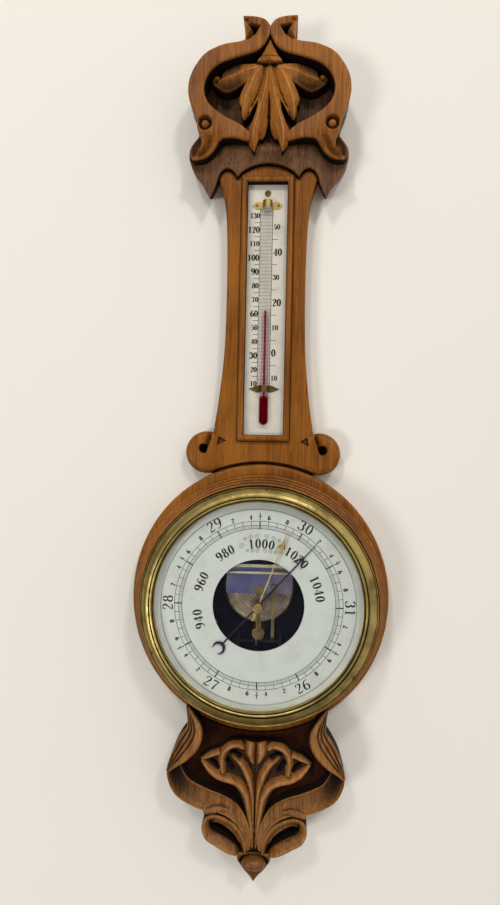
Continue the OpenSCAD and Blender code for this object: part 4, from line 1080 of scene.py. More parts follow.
base_side = joined(
    smooth(hung([[69.5, -10], [69.5, 13], [77, 27], [83, 38], [87, 50], [87.2, 59], [84.5, 70], [78, 79],
                 [62, 89], [52.5, 95]])),
    smooth(hung([[52.5, 95], [50, 106], [48, 116], [41, 123.5], [30, 128], [24, 133.5], [18, 140]])))
base_side = base_side[base_side[:, 1] < PENDANT_Z - 1]
meeting = math.degrees(math.acos(base_side[0][0] / round_joint[0]))
base_arch = arc(0, 0, 1, -90, -meeting, 24) * round_joint + [0, ROUND_Z]
base_half = joined(base_arch, base_side, [[0, base_side[-1][1]]])


def field_face(x, z, edge):
    """A dark field, hollowed by the gouge, with fine tool lines."""
    lines = 0.25 * np.sin((np.abs(x) * 0.8 - z) / 0.75)
    depth = BASE_FRONT - 2.5 * slope(edge, 1, 10) - rounded(edge, 1.6) + lines
    # Painted shade deeper in the field and a painted highlight along its edge.
    return depth, -0.25 - 0.3 * slope(edge, 0, 6) + 0.3 * hump(edge, 0.8, 0.8)


field = carve(both_sides(base_half), 0, field_face, 1.7)
pendant = add_piece("pendant_field", field, field_oak, "case", "dark_oak", "base_block")
pendant.data.materials.append(ground_oak)
for face in pendant.data.polygons:
    face.material_index = int(face.normal.y > FACES_WALL)

# %% [markdown]
# A ribbon comes out from under the moulding on each side, turns a corner and runs in to the middle as a
# hollow cove. The upper part falls away from a thick rim and has three gouge lines, and the cove has a
# high outer rim. Two straps of their own section make it, and they meet at the corner.

# %% Ribbons
GOUGES = (-0.1, 0.3, 0.68)
SET_IN = 3.0
WIDE = np.linspace(-1, 1, 41)
upper_stations = hung([
    [69.5, -7, 1.5, 13], [67, -2, 3.2, 16], [63.8, 5, 5.6, 19], [61.6, 12.5, 8.3, 22], [62.9, 19.5, 10.2, 23],
    [66.7, 26.5, 10.8, 23], [71.5, 33.5, 10, 23], [76.7, 40.5, 7.9, 23], [82.4, 48, 4.8, 22],
    [87.5, 56, 1.4, 20]])
cove_stations = hung([
    [82, 49, 6, 19], [79.5, 60, 8.2, 20], [73, 71, 9.6, 20], [63, 78, 10, 19], [49, 84.2, 9.8, 18],
    [35, 87.5, 8.2, 17.5], [21.5, 94.5, 7, 17], [12, 106, 5, 17], [7.2, 117, 3.6, 17], [5.8, 126, 2.6, 17],
    [5.4, 133, 1.6, 16]])


def upper_section(across, half_width, height, way):
    """A thick inner rim, and gouge lines on the part that falls away from it."""
    room = half_width * (1 - np.abs(across))
    groove = sum(hump(across * half_width, gouge * half_width, 0.9) for gouge in GOUGES)
    groove *= slope(half_width, 0, 6)
    fall = 0.45 * half_width * slope(across, -0.4, 1) ** 1.3
    rise = height - rounded(room, min(2.4, 0.7 * half_width)) - 1.6 * groove - fall
    # Painted highlight on the thick rim and painted shade in the gouge lines.
    return rise, 0.5 * hump(across, -0.62, 0.3) - 0.75 * groove - 0.1


def cove_section(across, half_width, height, way):
    """A high outer rim, a hollow that is deep and lined at the corner, and a low ridge within."""
    room = half_width * (1 - np.abs(across))
    hollow = np.clip(1 - np.abs(across + 0.05) ** 3.5, 0, 1)
    near = hump(way, 0, 0.3)
    lines = np.sin(across * half_width * 3.6)
    rise = height - rounded(room, min(1.4, 0.7 * half_width)) - 1.5 * (1 - across)
    rise -= hollow * (0.55 * min(half_width, 8) + 3.5 * near + 0.35 * lines * near)
    # Painted highlight on the outer rim and painted shade in the hollow, darkest at the corner.
    tone = 0.6 * hump(room, 0.8, 0.6) - hollow * (0.2 + 0.9 * near) - 0.25 * hollow * lines * near
    return rise, tone


upper_ribbon = strap(upper_stations, BASE_FRONT, upper_section, across=WIDE, sunk=SET_IN, shaded_sides=True)
cove = strap(cove_stations, BASE_FRONT, cove_section, across=WIDE, sunk=SET_IN, shaded_sides=True)
ribbon = merged(upper_ribbon, cove)
add_piece("ribbon_right", ribbon, pendant_oak, "case", "oak", "base_ribbon_right")
add_piece("ribbon_left", flipped(ribbon), pendant_oak, "case", "oak", "base_ribbon_left")

# %% [markdown]
# Under each ribbon a narrow band rolls over and comes back, with a hollow in its loop that is painted dark as
# shade, a floor in the hollow with a painted highlight and a small lip where the ribbon lies on it. Each is a
# strap, and the three are one piece.

# %% Rolled curls
curl_stations = hung([
    [9.4, 134, 1.8, 18], [12.6, 121, 3.2, 19], [19.6, 110, 4, 20], [29, 103, 4, 21], [39, 99.8, 3.6, 21],
    [46, 101.8, 3.4, 21], [48.6, 108.5, 3.4, 22], [44.8, 117, 4.3, 22], [36, 122, 4.8, 22],
    [27, 127, 4.8, 22], [20.5, 131.5, 4, 21], [16.5, 136, 2.2, 18]])
lip_stations = hung([
    [27, 93.5, 1.2, 15], [35, 92.6, 3, 17.5], [43, 93.6, 3.6, 18.5], [50.5, 96.4, 2.4, 17]])
floor_stations = hung([
    [43, 109, 2.4, 9], [36, 107, 3, 11], [27, 111, 3, 12], [19, 118, 2.6, 12], [14, 127, 2, 11]])


def rolled_section(across, half_width, height, way):
    """High at the outer edge and falling to the hollow within."""
    room = half_width * (1 - np.abs(across))
    fall = ((1 - across) / 2) ** 1.5
    rise = height - rounded(room, min(1.5, 0.6 * half_width)) - 6 * fall
    # Painted highlight on the outer edge and painted shade where the band falls to the hollow.
    return rise, 0.5 * hump(across, 0.5, 0.4) - 0.5 * fall


def lip_section(across, half_width, height, way):
    """A rounded lip under the ribbon."""
    # Painted shade at the lip's sides.
    return height - 0.5 * half_width * across**2, 0.15 - 0.5 * across**2


def floor_section(across, half_width, height, way):
    """The floor of the hollow, with a painted highlight where it catches the light."""
    return height - 3 * across**2, 0.3 - 1.1 * across**2


curl = merged(
    strap(curl_stations, BASE_FRONT, rolled_section, sunk=SET_IN, shaded_sides=True),
    strap(lip_stations, BASE_FRONT, lip_section, sunk=SET_IN),
    strap(floor_stations, BASE_FRONT, floor_section, across=ACROSS[::2], sunk=SET_IN))
add_piece("pendant_curl_right", curl, pendant_oak, "case", "oak", "base_curl_right")
add_piece("pendant_curl_left", flipped(curl), pendant_oak, "case", "oak", "base_curl_left")

# %% [markdown]
# From the middle a spray of stems rises, crosses and ends in pointed leaves. Like the leaf it is one board
# whose face is the highest ridge, with grooves where two stems meet and three pits a side in the loops, all
# painted dark as shade, and a painted highlight along each stem.

# %% The spray
PIT_DEPTH = 6.0
spray_half = joined(
    smooth(hung([[0, 27.5], [6, 25.5], [13, 26.5], [21, 25.8], [29, 28.2], [36.5, 34.5], [46, 37.5],
                 [57, 45.5]])),
    smooth(hung([[57, 45.5], [50.5, 57], [42, 64.5], [34, 68], [25, 70], [18, 76.5], [13, 86], [8.5, 101],
                 [5.5, 117], [3, 133]])))
STRANDS = [
    ([[1.6, 133], [2.8, 117], [4.8, 101], [8.4, 81], [15.4, 70], [25, 65], [35, 63], [45, 57], [55, 46.5]],
     [1.6, 2.4, 3.4, 4.4, 4.6, 4.6, 4.4, 4.2, 1.4], [11, 12, 13, 14.5, 15, 15, 14.5, 13.5, 10]),
    ([[1, 118], [1.6, 100], [2.6, 80], [6.5, 62], [13.5, 49], [21.5, 42]],
     [1, 1.6, 2.4, 3.8, 3.8, 3.4], [11, 13, 14.5, 16, 15, 11]),
    ([[33, 58], [33.5, 42], [28.5, 32.5], [19, 29.5], [13, 33]],
     [3.8, 3.8, 4, 4, 3.2], [12, 14.5, 15.5, 14.5, 11]),
    ([[55, 46.5], [45, 41.5], [37, 38.5], [33, 41]], [1.4, 3.2, 3.4, 2.6], [10, 12.5, 13, 11]),
    ([[5, 28], [5.5, 37], [2.5, 48]], [5.2, 5, 1.8], [13, 14, 11]),
]
PITS = [([[16.5, 42], [23.5, 37.5]], 2.3), ([[23.5, 54], [29, 46]], 2.2), ([[37.5, 53], [44, 47.5]], 2.0)]
BETWEEN = 7.5


def spray_face(x, z, edge):
    """Crossing stems: the highest one shows, with grooves between them and pits in the loops painted dark as
    shade.
    """
    here = np.stack([np.abs(x), z], axis=1)
    stems = [ridge(here, hung(line), *sizes, sharpness=2.2, fall=0.36) for line, *sizes in STRANDS]
    heights = [np.where(off > 1.3, BETWEEN, height) for height, off in stems]
    first, second, off = highest(heights, [off for height, off in stems])
    groove = np.clip(hump(first, second, 0.9) + hump(x, 0, 0.7), 0, 1) * (first > BETWEEN + 0.5)
    hole = sum(np.exp(-(line_distance(hung(line), here)[0] / radius) ** 4) for line, radius in PITS)
    rise = first - 2.5 * groove - PIT_DEPTH * hole - 0.6 * rounded(edge, 1.2) + tooled(x, z, 2.2, 0.3)
    # Painted highlight along each stem; painted shade in the grooves, the pits and the low ground between
    # stems.
    tone = 0.6 * hump(off, 0, 0.5) - 0.9 * groove - 1.3 * hole - 0.7 * (first < BETWEEN + 0.5) - 0.1
    return BASE_FRONT + np.maximum(rise, 1.5), tone


spray = carve(both_sides(spray_half), BASE_FRONT - SET_IN, spray_face, 0.95, walls=black_walls)
add_piece("spray", spray, spray_oak, "case", "oak", "base_spray")

# %% [markdown]
# At the foot a flattened ball sits in a pointed cup. The cup is carved with a hollow round the ball, and
# the ball is turned and then pressed flat.

# %% Cup and boss
BOSS = np.array([0, PENDANT_Z - 143])
BOSS_HALF = np.array([12.2, 7.6, 6.6])
CUP_FRONT = 36.0
BALL_MID = CUP_FRONT + 1.5
BALL_BACK = CUP_FRONT - 10
cup_top = PENDANT_Z - 134.5
cup_half = joined(
    [[0, cup_top], [15.6, cup_top]],
    smooth(hung([[15.6, 134.5], [16.8, 139], [15, 144.5], [9, 152], [4.2, 157], [0, 163]])))


def cup_face(x, z, edge):
    """A pointed cup, hollowed round the ball."""
    ball = np.hypot((x - BOSS[0]) / BOSS_HALF[0], (z - BOSS[1]) / BOSS_HALF[2])
    sunk = below(ball, 1.16, 26)
    # Painted highlight on the cup's edge and painted shade in the hollow round the ball.
    return CUP_FRONT - rounded(edge, 1.6) - 6 * sunk, 0.3 * hump(edge, 0.8, 0.7) - 0.8 * sunk - 0.35


cup = carve(both_sides(cup_half), 0, cup_face, 1.0, walls=black_walls)
ball_profile = [(0, BALL_BACK, RECESS), (BOSS_HALF[0] * 0.9, BALL_BACK, RECESS)]
for across, up in arc(0, 0, 1, -25, 90, 16):
    ball_profile.append((BOSS_HALF[0] * across, BALL_MID + BOSS_HALF[1] * up, 0.1))
ball = turned(ball_profile, *BOSS, steps=64, closed=False, stretch=BOSS_HALF[2] / BOSS_HALF[0])
add_piece("cup_and_boss", merged(cup, ball), boss_oak, "case", "oak", "base_boss")

# %% [markdown]
# ## Brass, steel and lacquer
#
# A lathe leaves fine rings round the axis of the dial. A small group gives the distance from that axis,
# and both the brass of the bezel and the bevel of the glass use it.

# %% Distance from the dial's axis
dial_radius, given, result = shader_group("dial_radius", [], [("Radius", "Float")])
tree = dial_radius
place = vectors(tree, "ADD", put(tree, "ShaderNodeTexCoord").outputs["Object"], (0, 0, -DIAL_Z * MM))
place = vectors(tree, "MULTIPLY", place, (1, 0, 1))
tree.links.new(vectors(tree, "LENGTH", place, output="Value"), result["Radius"])
print("dial radius:", len(tree.nodes), "shader nodes")

# %% [markdown]
# Brass on an old instrument is brushed, and its lacquer has gone brown in clouds. Blued steel and bare steel
# are brushed in the same way, and the painted plate and the white enamel are uneven too. One group gives
# clouds of tarnish, fine scratches, the rings of the lathe and a darker colour where the tone is below zero.

# %% Age of metal
RECESS_DARKENING = (0.012, 0.009, 0.005, 1)
old_metal, given, result = shader_group(
    "old_metal",
    [("Bright", "Color", (0.6, 0.45, 0.16, 1)), ("Tarnish", "Color", (0.2, 0.13, 0.04, 1)),
     ("Spread", "Float", 0.5), ("Rough", "Float", 0.3), ("Lathe", "Float", 0.0)],
    [("Color", "Color"), ("Roughness", "Float"), ("Height", "Float")])
tree = old_metal
clouds = noise(tree, stretched(tree, 45, 45, 45), detail=4, rough=0.6)
specks = noise(tree, stretched(tree, 900, 900, 900), detail=2)
brushed = noise(tree, stretched(tree, 3500, 3500, 160), detail=2)
radius = use_group(tree, dial_radius)["Radius"]
rings = put(tree, "ShaderNodeTexNoise", {"W": radius, "Scale": 1400.0, "Detail": 2.0}, noise_dimensions="1D")
rings = times(tree, rings.outputs[0], given["Lathe"])
stained = ramp(tree, plus(tree, clouds, times(tree, given["Spread"], 0.4)), 0.45, 0.85)
metal = blended(tree, stained, given["Bright"], given["Tarnish"])
metal = blended(tree, times(tree, ramp(tree, rings, 0.45, 0.7), 0.6), metal, given["Tarnish"])
metal = blended(tree, times(tree, ramp(tree, specks, 0.66, 0.74), 0.6), metal, given["Tarnish"])
tone = put(tree, "ShaderNodeAttribute", attribute_name="tone").outputs["Fac"]
# Below zero the tone darkens the metal.
metal = blended(tree, ramp(tree, times(tree, tone, -1.0), 0.1, 0.85), metal, RECESS_DARKENING)
dull = plus(tree, times(tree, stained, 0.2), times(tree, brushed, 0.12))
tree.links.new(metal, result["Color"])
tree.links.new(plus(tree, given["Rough"], dull), result["Roughness"])
tree.links.new(plus(tree, rings, times(tree, brushed, 0.35)), result["Height"])
print("old metal:", len(tree.nodes), "shader nodes")

# %% [markdown]
# Every metal and every paint on metal is that group with two colours of its own, bright and tarnished.
# Paint, enamel and ink take the same group without a metal's mirror.

# %% Metals and paints
METAL_RELIEF_DEPTH = 0.00008


def aged(name, bright, tarnish, spread=0.3, rough=0.25, lathe=0.0, metallic=1.0, relief=0.25, shine=0.5):
    """A metal or painted metal with its age."""
    made, tree, shader = new_finish(name)
    age = use_group(tree, old_metal, Bright=bright, Tarnish=tarnish, Spread=spread, Rough=rough, Lathe=lathe)
    tree.links.new(age["Color"], shader.inputs["Base Color"])
    tree.links.new(age["Roughness"], shader.inputs["Roughness"])
    shader.inputs["Metallic"].default_value = metallic
    shader.inputs["Specular IOR Level"].default_value = shine
    bump(tree, shader, age["Height"], relief, METAL_RELIEF_DEPTH)
    return made


bezel_brass = aged("bezel_brass", (0.46, 0.35, 0.12, 1), (0.18, 0.13, 0.04, 1), lathe=1.0)
fitting_brass = aged("fitting_brass", (0.5, 0.36, 0.13, 1), (0.2, 0.13, 0.04, 1))
worn_brass = aged("worn_brass", (0.17, 0.13, 0.065, 1), (0.08, 0.06, 0.03, 1), rough=0.35)
dark_brass = aged("dark_brass", (0.2, 0.13, 0.045, 1), (0.07, 0.045, 0.016, 1), rough=0.35)
hand_brass = aged("hand_brass", (0.66, 0.5, 0.2, 1), (0.4, 0.28, 0.1, 1), rough=0.2)
pale_brass = aged("pale_brass", (0.52, 0.48, 0.33, 1), (0.24, 0.21, 0.13, 1), rough=0.3)
blued = aged("blued_steel", (0.014, 0.014, 0.035, 1), (0.008, 0.006, 0.014, 1),
             rough=0.3, metallic=0.6, shine=0.3)
leaf_blue = aged("spring_blue", (0.07, 0.08, 0.18, 1), (0.18, 0.14, 0.15, 1), rough=0.3)
bare_steel = aged("bare_steel", (0.45, 0.44, 0.42, 1), (0.2, 0.17, 0.14, 1), rough=0.32)
dark_steel = aged("dark_steel", (0.035, 0.032, 0.03, 1), (0.015, 0.013, 0.012, 1), rough=0.4)
capsule_metal = aged("capsule_metal", (0.46, 0.39, 0.31, 1), (0.26, 0.2, 0.14, 1), rough=0.34)
navy = aged("navy_lacquer", (0.002, 0.004, 0.02, 1), (0.003, 0.003, 0.01, 1),
            rough=0.5, metallic=0.0, shine=0.04)
enamel = aged("dial_enamel", (0.55, 0.585, 0.54, 1), (0.47, 0.49, 0.44, 1),
              spread=0.1, rough=0.3, metallic=0.0, relief=0.05, shine=0.3)
ink = aged("printed_ink", (0.012, 0.012, 0.012, 1), (0.03, 0.03, 0.03, 1),
           rough=0.5, metallic=0.0, relief=0.05, shine=0.15)
plate_white = aged("plate_white", (0.64, 0.6, 0.51, 1), (0.52, 0.48, 0.39, 1),
                   spread=0.1, rough=0.35, metallic=0.0, relief=0.05, shine=0.3)
red_spirit = aged("red_spirit", (0.15, 0.012, 0.03, 1), (0.08, 0.006, 0.016, 1),
                  rough=0.1, metallic=0.0, relief=0.02)
print("finishes so far:", len(bpy.data.materials))

# %% [markdown]
# ## Glass
#
# A lamp's light would be lost in clear glass, so shadow rays and the room's soft light pass straight through.
# The glass bends less than real glass, because a full bend would make a lens of the tube and hide the rungs
# behind it. The dial's glass has a bevel whose inner edge is painted as a thin grey ring of shade.

# %% Clear glass
BEVEL_R = 94.5
BEVEL_SHADE_GREY = (0.55, 0.57, 0.53, 1)
GROUND_ROUGH = 0.22


def mix_surface(tree, factor, first, second, output="Material Output"):
    """The surface is the first shader where the factor is 0 and the second where it is 1."""
    both = put(tree, "ShaderNodeMixShader", {0: factor, 1: first.outputs[0], 2: second.outputs[0]})
    tree.links.new(both.outputs[0], tree.nodes[output].inputs["Surface"])


def clear_glass(name, tint, smear, bend, bevel_from=None):
    """Glass that lets the lamps and the room's light through, with faint smears in its gloss."""
    made, tree, shader = new_finish(name)
    shader.inputs["Base Color"].default_value = tint
    shader.inputs["Transmission Weight"].default_value = 1.0
    shader.inputs["IOR"].default_value = bend
    smears = ramp(tree, noise(tree, stretched(tree, 30, 30, 12), detail=4), 0.4, 0.8)
    haze = times(tree, smears, smear)
    if bevel_from is not None:
        radius = use_group(tree, dial_radius)["Radius"]
        from_edge = maths(tree, "ABSOLUTE", minus(tree, radius, bevel_from * MM))
        # A thin painted grey ring of shade at the bevel's inner edge.
        line = ramp(tree, from_edge, 0.9 * MM, 0.3 * MM)
        tree.links.new(blended(tree, line, tint, BEVEL_SHADE_GREY), shader.inputs["Base Color"])
        ground_edge = ramp(tree, radius, bevel_from * MM, (bevel_from + 1) * MM)
        haze = plus(tree, haze, times(tree, ground_edge, GROUND_ROUGH))
    tree.links.new(haze, shader.inputs["Roughness"])
    path = put(tree, "ShaderNodeLightPath").outputs
    light = maths(tree, "ADD", path["Is Shadow Ray"], path["Is Diffuse Ray"], clamp=True)
    mix_surface(tree, light, shader, put(tree, "ShaderNodeBsdfTransparent"))
    return made


dial_glass = clear_glass("dial_glass", (0.98, 0.99, 0.985, 1), 0.05, 1.2, BEVEL_R)
print("the bevel of the dial's glass starts", BEVEL_R, "mm from the axis")

# %% [markdown]
# The tube shows the spirit through its wall: it is clear above the thread, pink beside it and red at the
# bulb. The colour follows the height along the tube, because the wall and the spirit are separate solids.

# %% Glass of the tube
SPIRIT_TOP = (-216.5, -218.0)
BULB_TOP = (-303.0, -305.0)
CLEAR = (0.97, 0.98, 0.97, 1)
PINK = (0.95, 0.74, 0.78, 1)
BULB_RED = (0.55, 0.04, 0.09, 1)
tube_glass = clear_glass("tube_glass", CLEAR, 0.02, 1.04)
tree = tube_glass.node_tree
height = put(tree, "ShaderNodeSeparateXYZ", {0: stretched(tree, 1, 1, 1)}).outputs["Z"]
tint = CLEAR
for (start, end), colour in ((SPIRIT_TOP, PINK), (BULB_TOP, BULB_RED)):
    tint = blended(tree, ramp(tree, height, start * MM, end * MM), tint, colour)
tree.links.new(tint, tree.nodes["Principled BSDF"].inputs["Base Color"])
print("the spirit stands at", SPIRIT_TOP[0], "mm")

# %% [markdown]
# Plain plates, glass and small fittings keep their CAD solids. Each gets the finish that the photograph
# shows, or that such a piece usually has where it is hidden.

# %% Finishes on the CAD pieces
NODE_FINISHES = {
    neck_oak: ["case_dowels"],
    fitting_brass: ["hanging_plate", "hanging_screws", "tube_clip_upper", "sight_ring", "set_knob"],
    worn_brass: ["hand_collet", "capsule_post", "pull_chain", "main_lever", "cock_screw"],
    dark_brass: ["tube_clip_lower", "scale_screw", "arbor_cock", "cock_pillar", "tube_clip_pins"],
    blued: ["hairspring"],
    leaf_blue: ["main_spring"],
    bare_steel: ["movement_screws", "adjusting_screw"],
    dark_steel: ["centre_arbor", "rocking_bar", "rocker_brackets"],
    navy: ["movement_plate"],
    enamel: ["dial_plate"],
    plate_white: ["thermometer_scale"],
    dial_glass: ["dial_glass"],
    tube_glass: ["thermometer_tube"],
    red_spirit: ["thermometer_spirit"],
}
for finish, names in NODE_FINISHES.items():
    for name in names:
        slots = nodes[name].data.materials
        slots.clear()
        slots.append(finish)
print("finished", sum(len(names) for names in NODE_FINISHES.values()), "CAD pieces")

# %% [markdown]
# ## Bezel, movement and hands
#
# The bezel is a spun brass ring: a thin ridge on the glass, a narrow band, and a broad convex one with a bead
# round it, with black lines in the grooves between. Three dark pins hold it. Ring and pins are turned.

# %% The bezel
PIN_R = 1.5
PIN_BACK = 50.0
PIN_SIDE = 52.4
PIN_CIRCLE = 114
PIN_ANGLES = (87, 205, 325)


def on_dial(radius, angle):
    """A place on the dial's face."""
    return arc(0, DIAL_Z, radius, angle, angle, 0)[0]


bezel_profile = [
    (106.3, BEZEL_SEAT, 0), (106.3, 53.8, 0), (101.2, 53.8, -0.3), (101.3, 55.3, 0), (101.8, 55.9, 0),
    (102.3, 55.5, 0), (102.5, 54.6, -1), (103.1, 54.6, -1), (103.3, 55.8, 0), (104.3, 56.4, 0),
    (105.4, 56.1, 0), (105.7, 55, -1), (106.3, 55, -1)]
for way in np.linspace(0, 1, 10):
    bezel_profile.append((106.6 + 8 * way, 56.6 - 5.4 * way**1.9, 0))
bezel_profile += [(114.8, 50.5, -0.8), (115.1, 51.2, 0), (115.6, 51.5, 0), (116, 51, 0), (116, BEZEL_SEAT, 0)]
add_piece("turned_bezel", turned(bezel_profile, 0, DIAL_Z, 240), bezel_brass, "case", "brass", "bezel")
pin_profile = [(0, PIN_BACK, 0), (PIN_R, PIN_BACK, RECESS), (PIN_R, PIN_SIDE, -0.5)]
pin_profile += [(radius, depth, -0.4) for radius, depth in arc(0, PIN_SIDE, PIN_R, 20, 90, 5)]
pins = [turned(pin_profile, *on_dial(PIN_CIRCLE, angle), steps=24, closed=False) for angle in PIN_ANGLES]
add_piece("bezel_pins", merged(*pins), dark_brass, "case", "brass", "bezel_screws")

# %% [markdown]
# The capsule in the movement is a tin with pressed rings, which let its lid breathe. A cosine along the
# radius gives the rings, and their hollows are darker.

# %% The capsule
CAPSULE_Z = -498.0
CAPSULE_BACK = 11.3
CAPSULE_R = 35
LID = 22.1
LID_MIDDLE = 22.4
RIPPLE = 2.4
capsule_profile = [
    (0, CAPSULE_BACK, 0), (CAPSULE_R, CAPSULE_BACK, -0.5), (CAPSULE_R, 19.4, 0), (CAPSULE_R - 1, 20.8, 0)]
for radius in np.arange(33, 5, -RIPPLE / 6):
    wave = math.cos(2 * math.pi * radius / RIPPLE)
    capsule_profile.append((radius, LID + 0.5 * wave, 0.2 * wave - 0.22))
capsule_profile += [(4.8, LID_MIDDLE, 0), (0, LID_MIDDLE, 0)]
capsule = turned(capsule_profile, 0, CAPSULE_Z, 120, closed=False)
add_piece("pressed_capsule", capsule, capsule_metal, "case", "steel", "vacuum_capsule")

# %% [markdown]
# A dark bridge on two posts holds the spring above the capsule, and two brass bars lie along its hinge.
# They are plain straps with softened edges.

# %% The bridge
BRIDGE_FRONT = 33.6
POST_BACK = 8.5
POST_X = 36.5
POST_HALF = 2.4
POST_RISE = 26.4


def bar_section(across, half_width, height, way):
    """A flat bar with softened edges."""
    return height - rounded(half_width * (1 - np.abs(across)), 0.5), np.zeros(len(across))


def bar(z, half_width, thickness, reach):
    """A level bar in front of the spring."""
    ends = [[x, z, half_width, thickness] for x in (-reach, reach)]
    return strap(ends, BRIDGE_FRONT, bar_section, 1)


def post(x):
    """An upright post of the bridge."""
    return strap([[x, z, POST_HALF, POST_RISE] for z in (-479, -462)], POST_BACK, bar_section, 1)


bridge = merged(bar(-466.6, 4.6, 1.2, POST_X), post(-POST_X), post(POST_X))
add_piece("bridge", bridge, navy, "case", "navy_lacquer", "spring_bridge")
hinge = merged(bar(-473.2, 1.8, 1.9, 36), bar(-480.2, 1.2, 1.4, 34))
add_piece("hinge_bars", hinge, pale_brass, "case", "brass")

# %% [markdown]
# A hand is cut from thin sheet and riveted to a hub. Its strips are drawn along the hand and beside it,
# and turned to the angle at which the CAD hand rests.

# %% Make a hand
HUB_R = 4


def hand_section(across, half_width, height, way):
    """A thin flat strip with broken edges."""
    room = half_width * (1 - np.abs(across))
    return height - rounded(room, min(0.2, 0.5 * half_width)), np.zeros(len(across))


def flat_ring(inner, outer, back, thick, steps):
    """A flat ring round the dial's axis."""
    front = back + thick
    corners = [(inner, back, 0), (outer, back, 0), (outer, front, 0), (inner, front, 0)]
    return turned(corners, 0, DIAL_Z, steps)


def hand_shape(strips, angle, back, thick, bore):
    """A hand from strips, whose rows are the distance along the hand, beside it and half the width."""
    cosine = math.cos(math.radians(angle))
    sine = math.sin(math.radians(angle))
    shapes = []
    for strip in strips:
        along, beside, half_width = np.array(strip, dtype=float).T
        x = along * cosine - beside * sine
        z = DIAL_Z + along * sine + beside * cosine
        stations = np.column_stack([x, z, half_width, np.full(len(x), thick)])
        shapes.append(strap(stations, back, hand_section, 4, ACROSS[::2]))
    return merged(*shapes, flat_ring(bore, HUB_R, back, thick, 48))


print("a hub has a radius of", HUB_R, "mm")

# %% [markdown]
# The pressure hand is a thin blued arrow with two barbs and a crescent for a tail. The brass set hand
# above it has a spade with two barbs. It is set by the knob and shows how the pressure has changed since.

# %% The two hands
CRESCENT = -57.0
moon = arc(CRESCENT, 0, 5.5, -148, 132, 26)
moon_width = 0.15 + 1.3 * np.sin(np.linspace(0, np.pi, len(moon)))
arrow_strips = [
    [[-51.5, 0, 0.7], [-20, 0, 0.75], [0, 0, 0.9], [30, 0, 0.8], [60, 0, 0.6], [81, 0, 0.25]],
    np.column_stack([moon, moon_width])]
set_strips = [
    [[-15, 0, 1.1], [-5, 0, 1.0], [5, 0, 0.9], [40, 0, 0.55], [60, 0, 0.5], [80, 0, 0.25]],
    [[70, 0, 0.3], [66, 0, 1.6], [61.5, 0, 3.2], [59.5, 0, 2.2], [58.5, 0, 0.6]]]
for side in (-1, 1):
    arrow_strips.append([[65, 0, 0.4], [60, side * 2.4, 0.9], [54.5, side * 5.6, 0.2]])
    set_strips.append([[64, side * 1.6, 0.8], [60.5, side * 3.2, 0.9], [57, side * 4.6, 0.2]])
arrow = hand_shape(arrow_strips, angle=48.0, back=47.6, thick=0.8, bore=1.2)
set_arrow = hand_shape(set_strips, angle=69.5, back=50.0, thick=0.6, bore=1.7)
add_piece("arrow_hand", arrow, blued, "hand_train", "blued_steel", "pressure_hand")
add_piece("set_arrow", set_arrow, hand_brass, "set_pointer", "brass", "set_hand")

# %% [markdown]
# ## The thermometer's frame
#
# Four beads of oak, mitred at the corners, frame the scale plate. One section is carried round the four
# corners, so the mitres come by themselves. Its inner side is painted black as shade, because no light
# reaches it.

# %% The mitred beads
FRAME_INNER = np.array([20.0, 127.7])
# Painted shade on both sides of the bead, black on the inner one, and a painted highlight on its crown.
BEAD_SECTION = [
    (0, 16, SHADE_BLACK), (0, 22.2, SHADE_BLACK), (0.3, 23.4, -0.6), (1.2, 24.8, 0.1), (2.6, 25.4, 0.25),
    (4.2, 25.3, 0.2), (5.6, 24.4, 0), (6.4, 22.8, -0.3), (6.8, 20, -0.9), (6.8, 16, -0.9)]
CORNERS = np.array([[-1, -1], [1, -1], [1, 1], [-1, 1]])
frame_points = []
frame_faces = []
for row, (beside, depth, tone) in enumerate(BEAD_SECTION):
    above = (row + 1) % len(BEAD_SECTION)
    for k, corner in enumerate(CORNERS):
        x, z = corner * (FRAME_INNER + beside) + [0, SCALE_MID]
        frame_points.append([x, depth, z, tone])
        beyond = (k + 1) % 4
        frame_faces.append([4 * row + k, 4 * row + beyond, 4 * above + beyond, 4 * above + k])
add_piece("bead_frame", (np.array(frame_points), frame_faces), neck_oak, "case", "oak", "thermometer_beads")

# %% [markdown]
# ## Numbers and lines
#
# The dial and the thermometer are printed with thick and thin numerals. A font would need a file, so each
# numeral is drawn here with a few pen strokes: points on a cell that is one high, each with half the pen's
# width.

# %% Pen strokes of the numerals
def oval(x, z, wide, high, start=0, end=360, thin=0.025, thick=0.085):
    """A round stroke that is thick at its sides."""
    angles = np.radians(np.linspace(start, end, max(5, int(abs(end - start) / 15) + 1)))
    pen = thin + (thick - thin) * np.abs(np.cos(angles))
    return np.stack([x + wide * np.cos(angles), z + high * np.sin(angles), pen], axis=1)


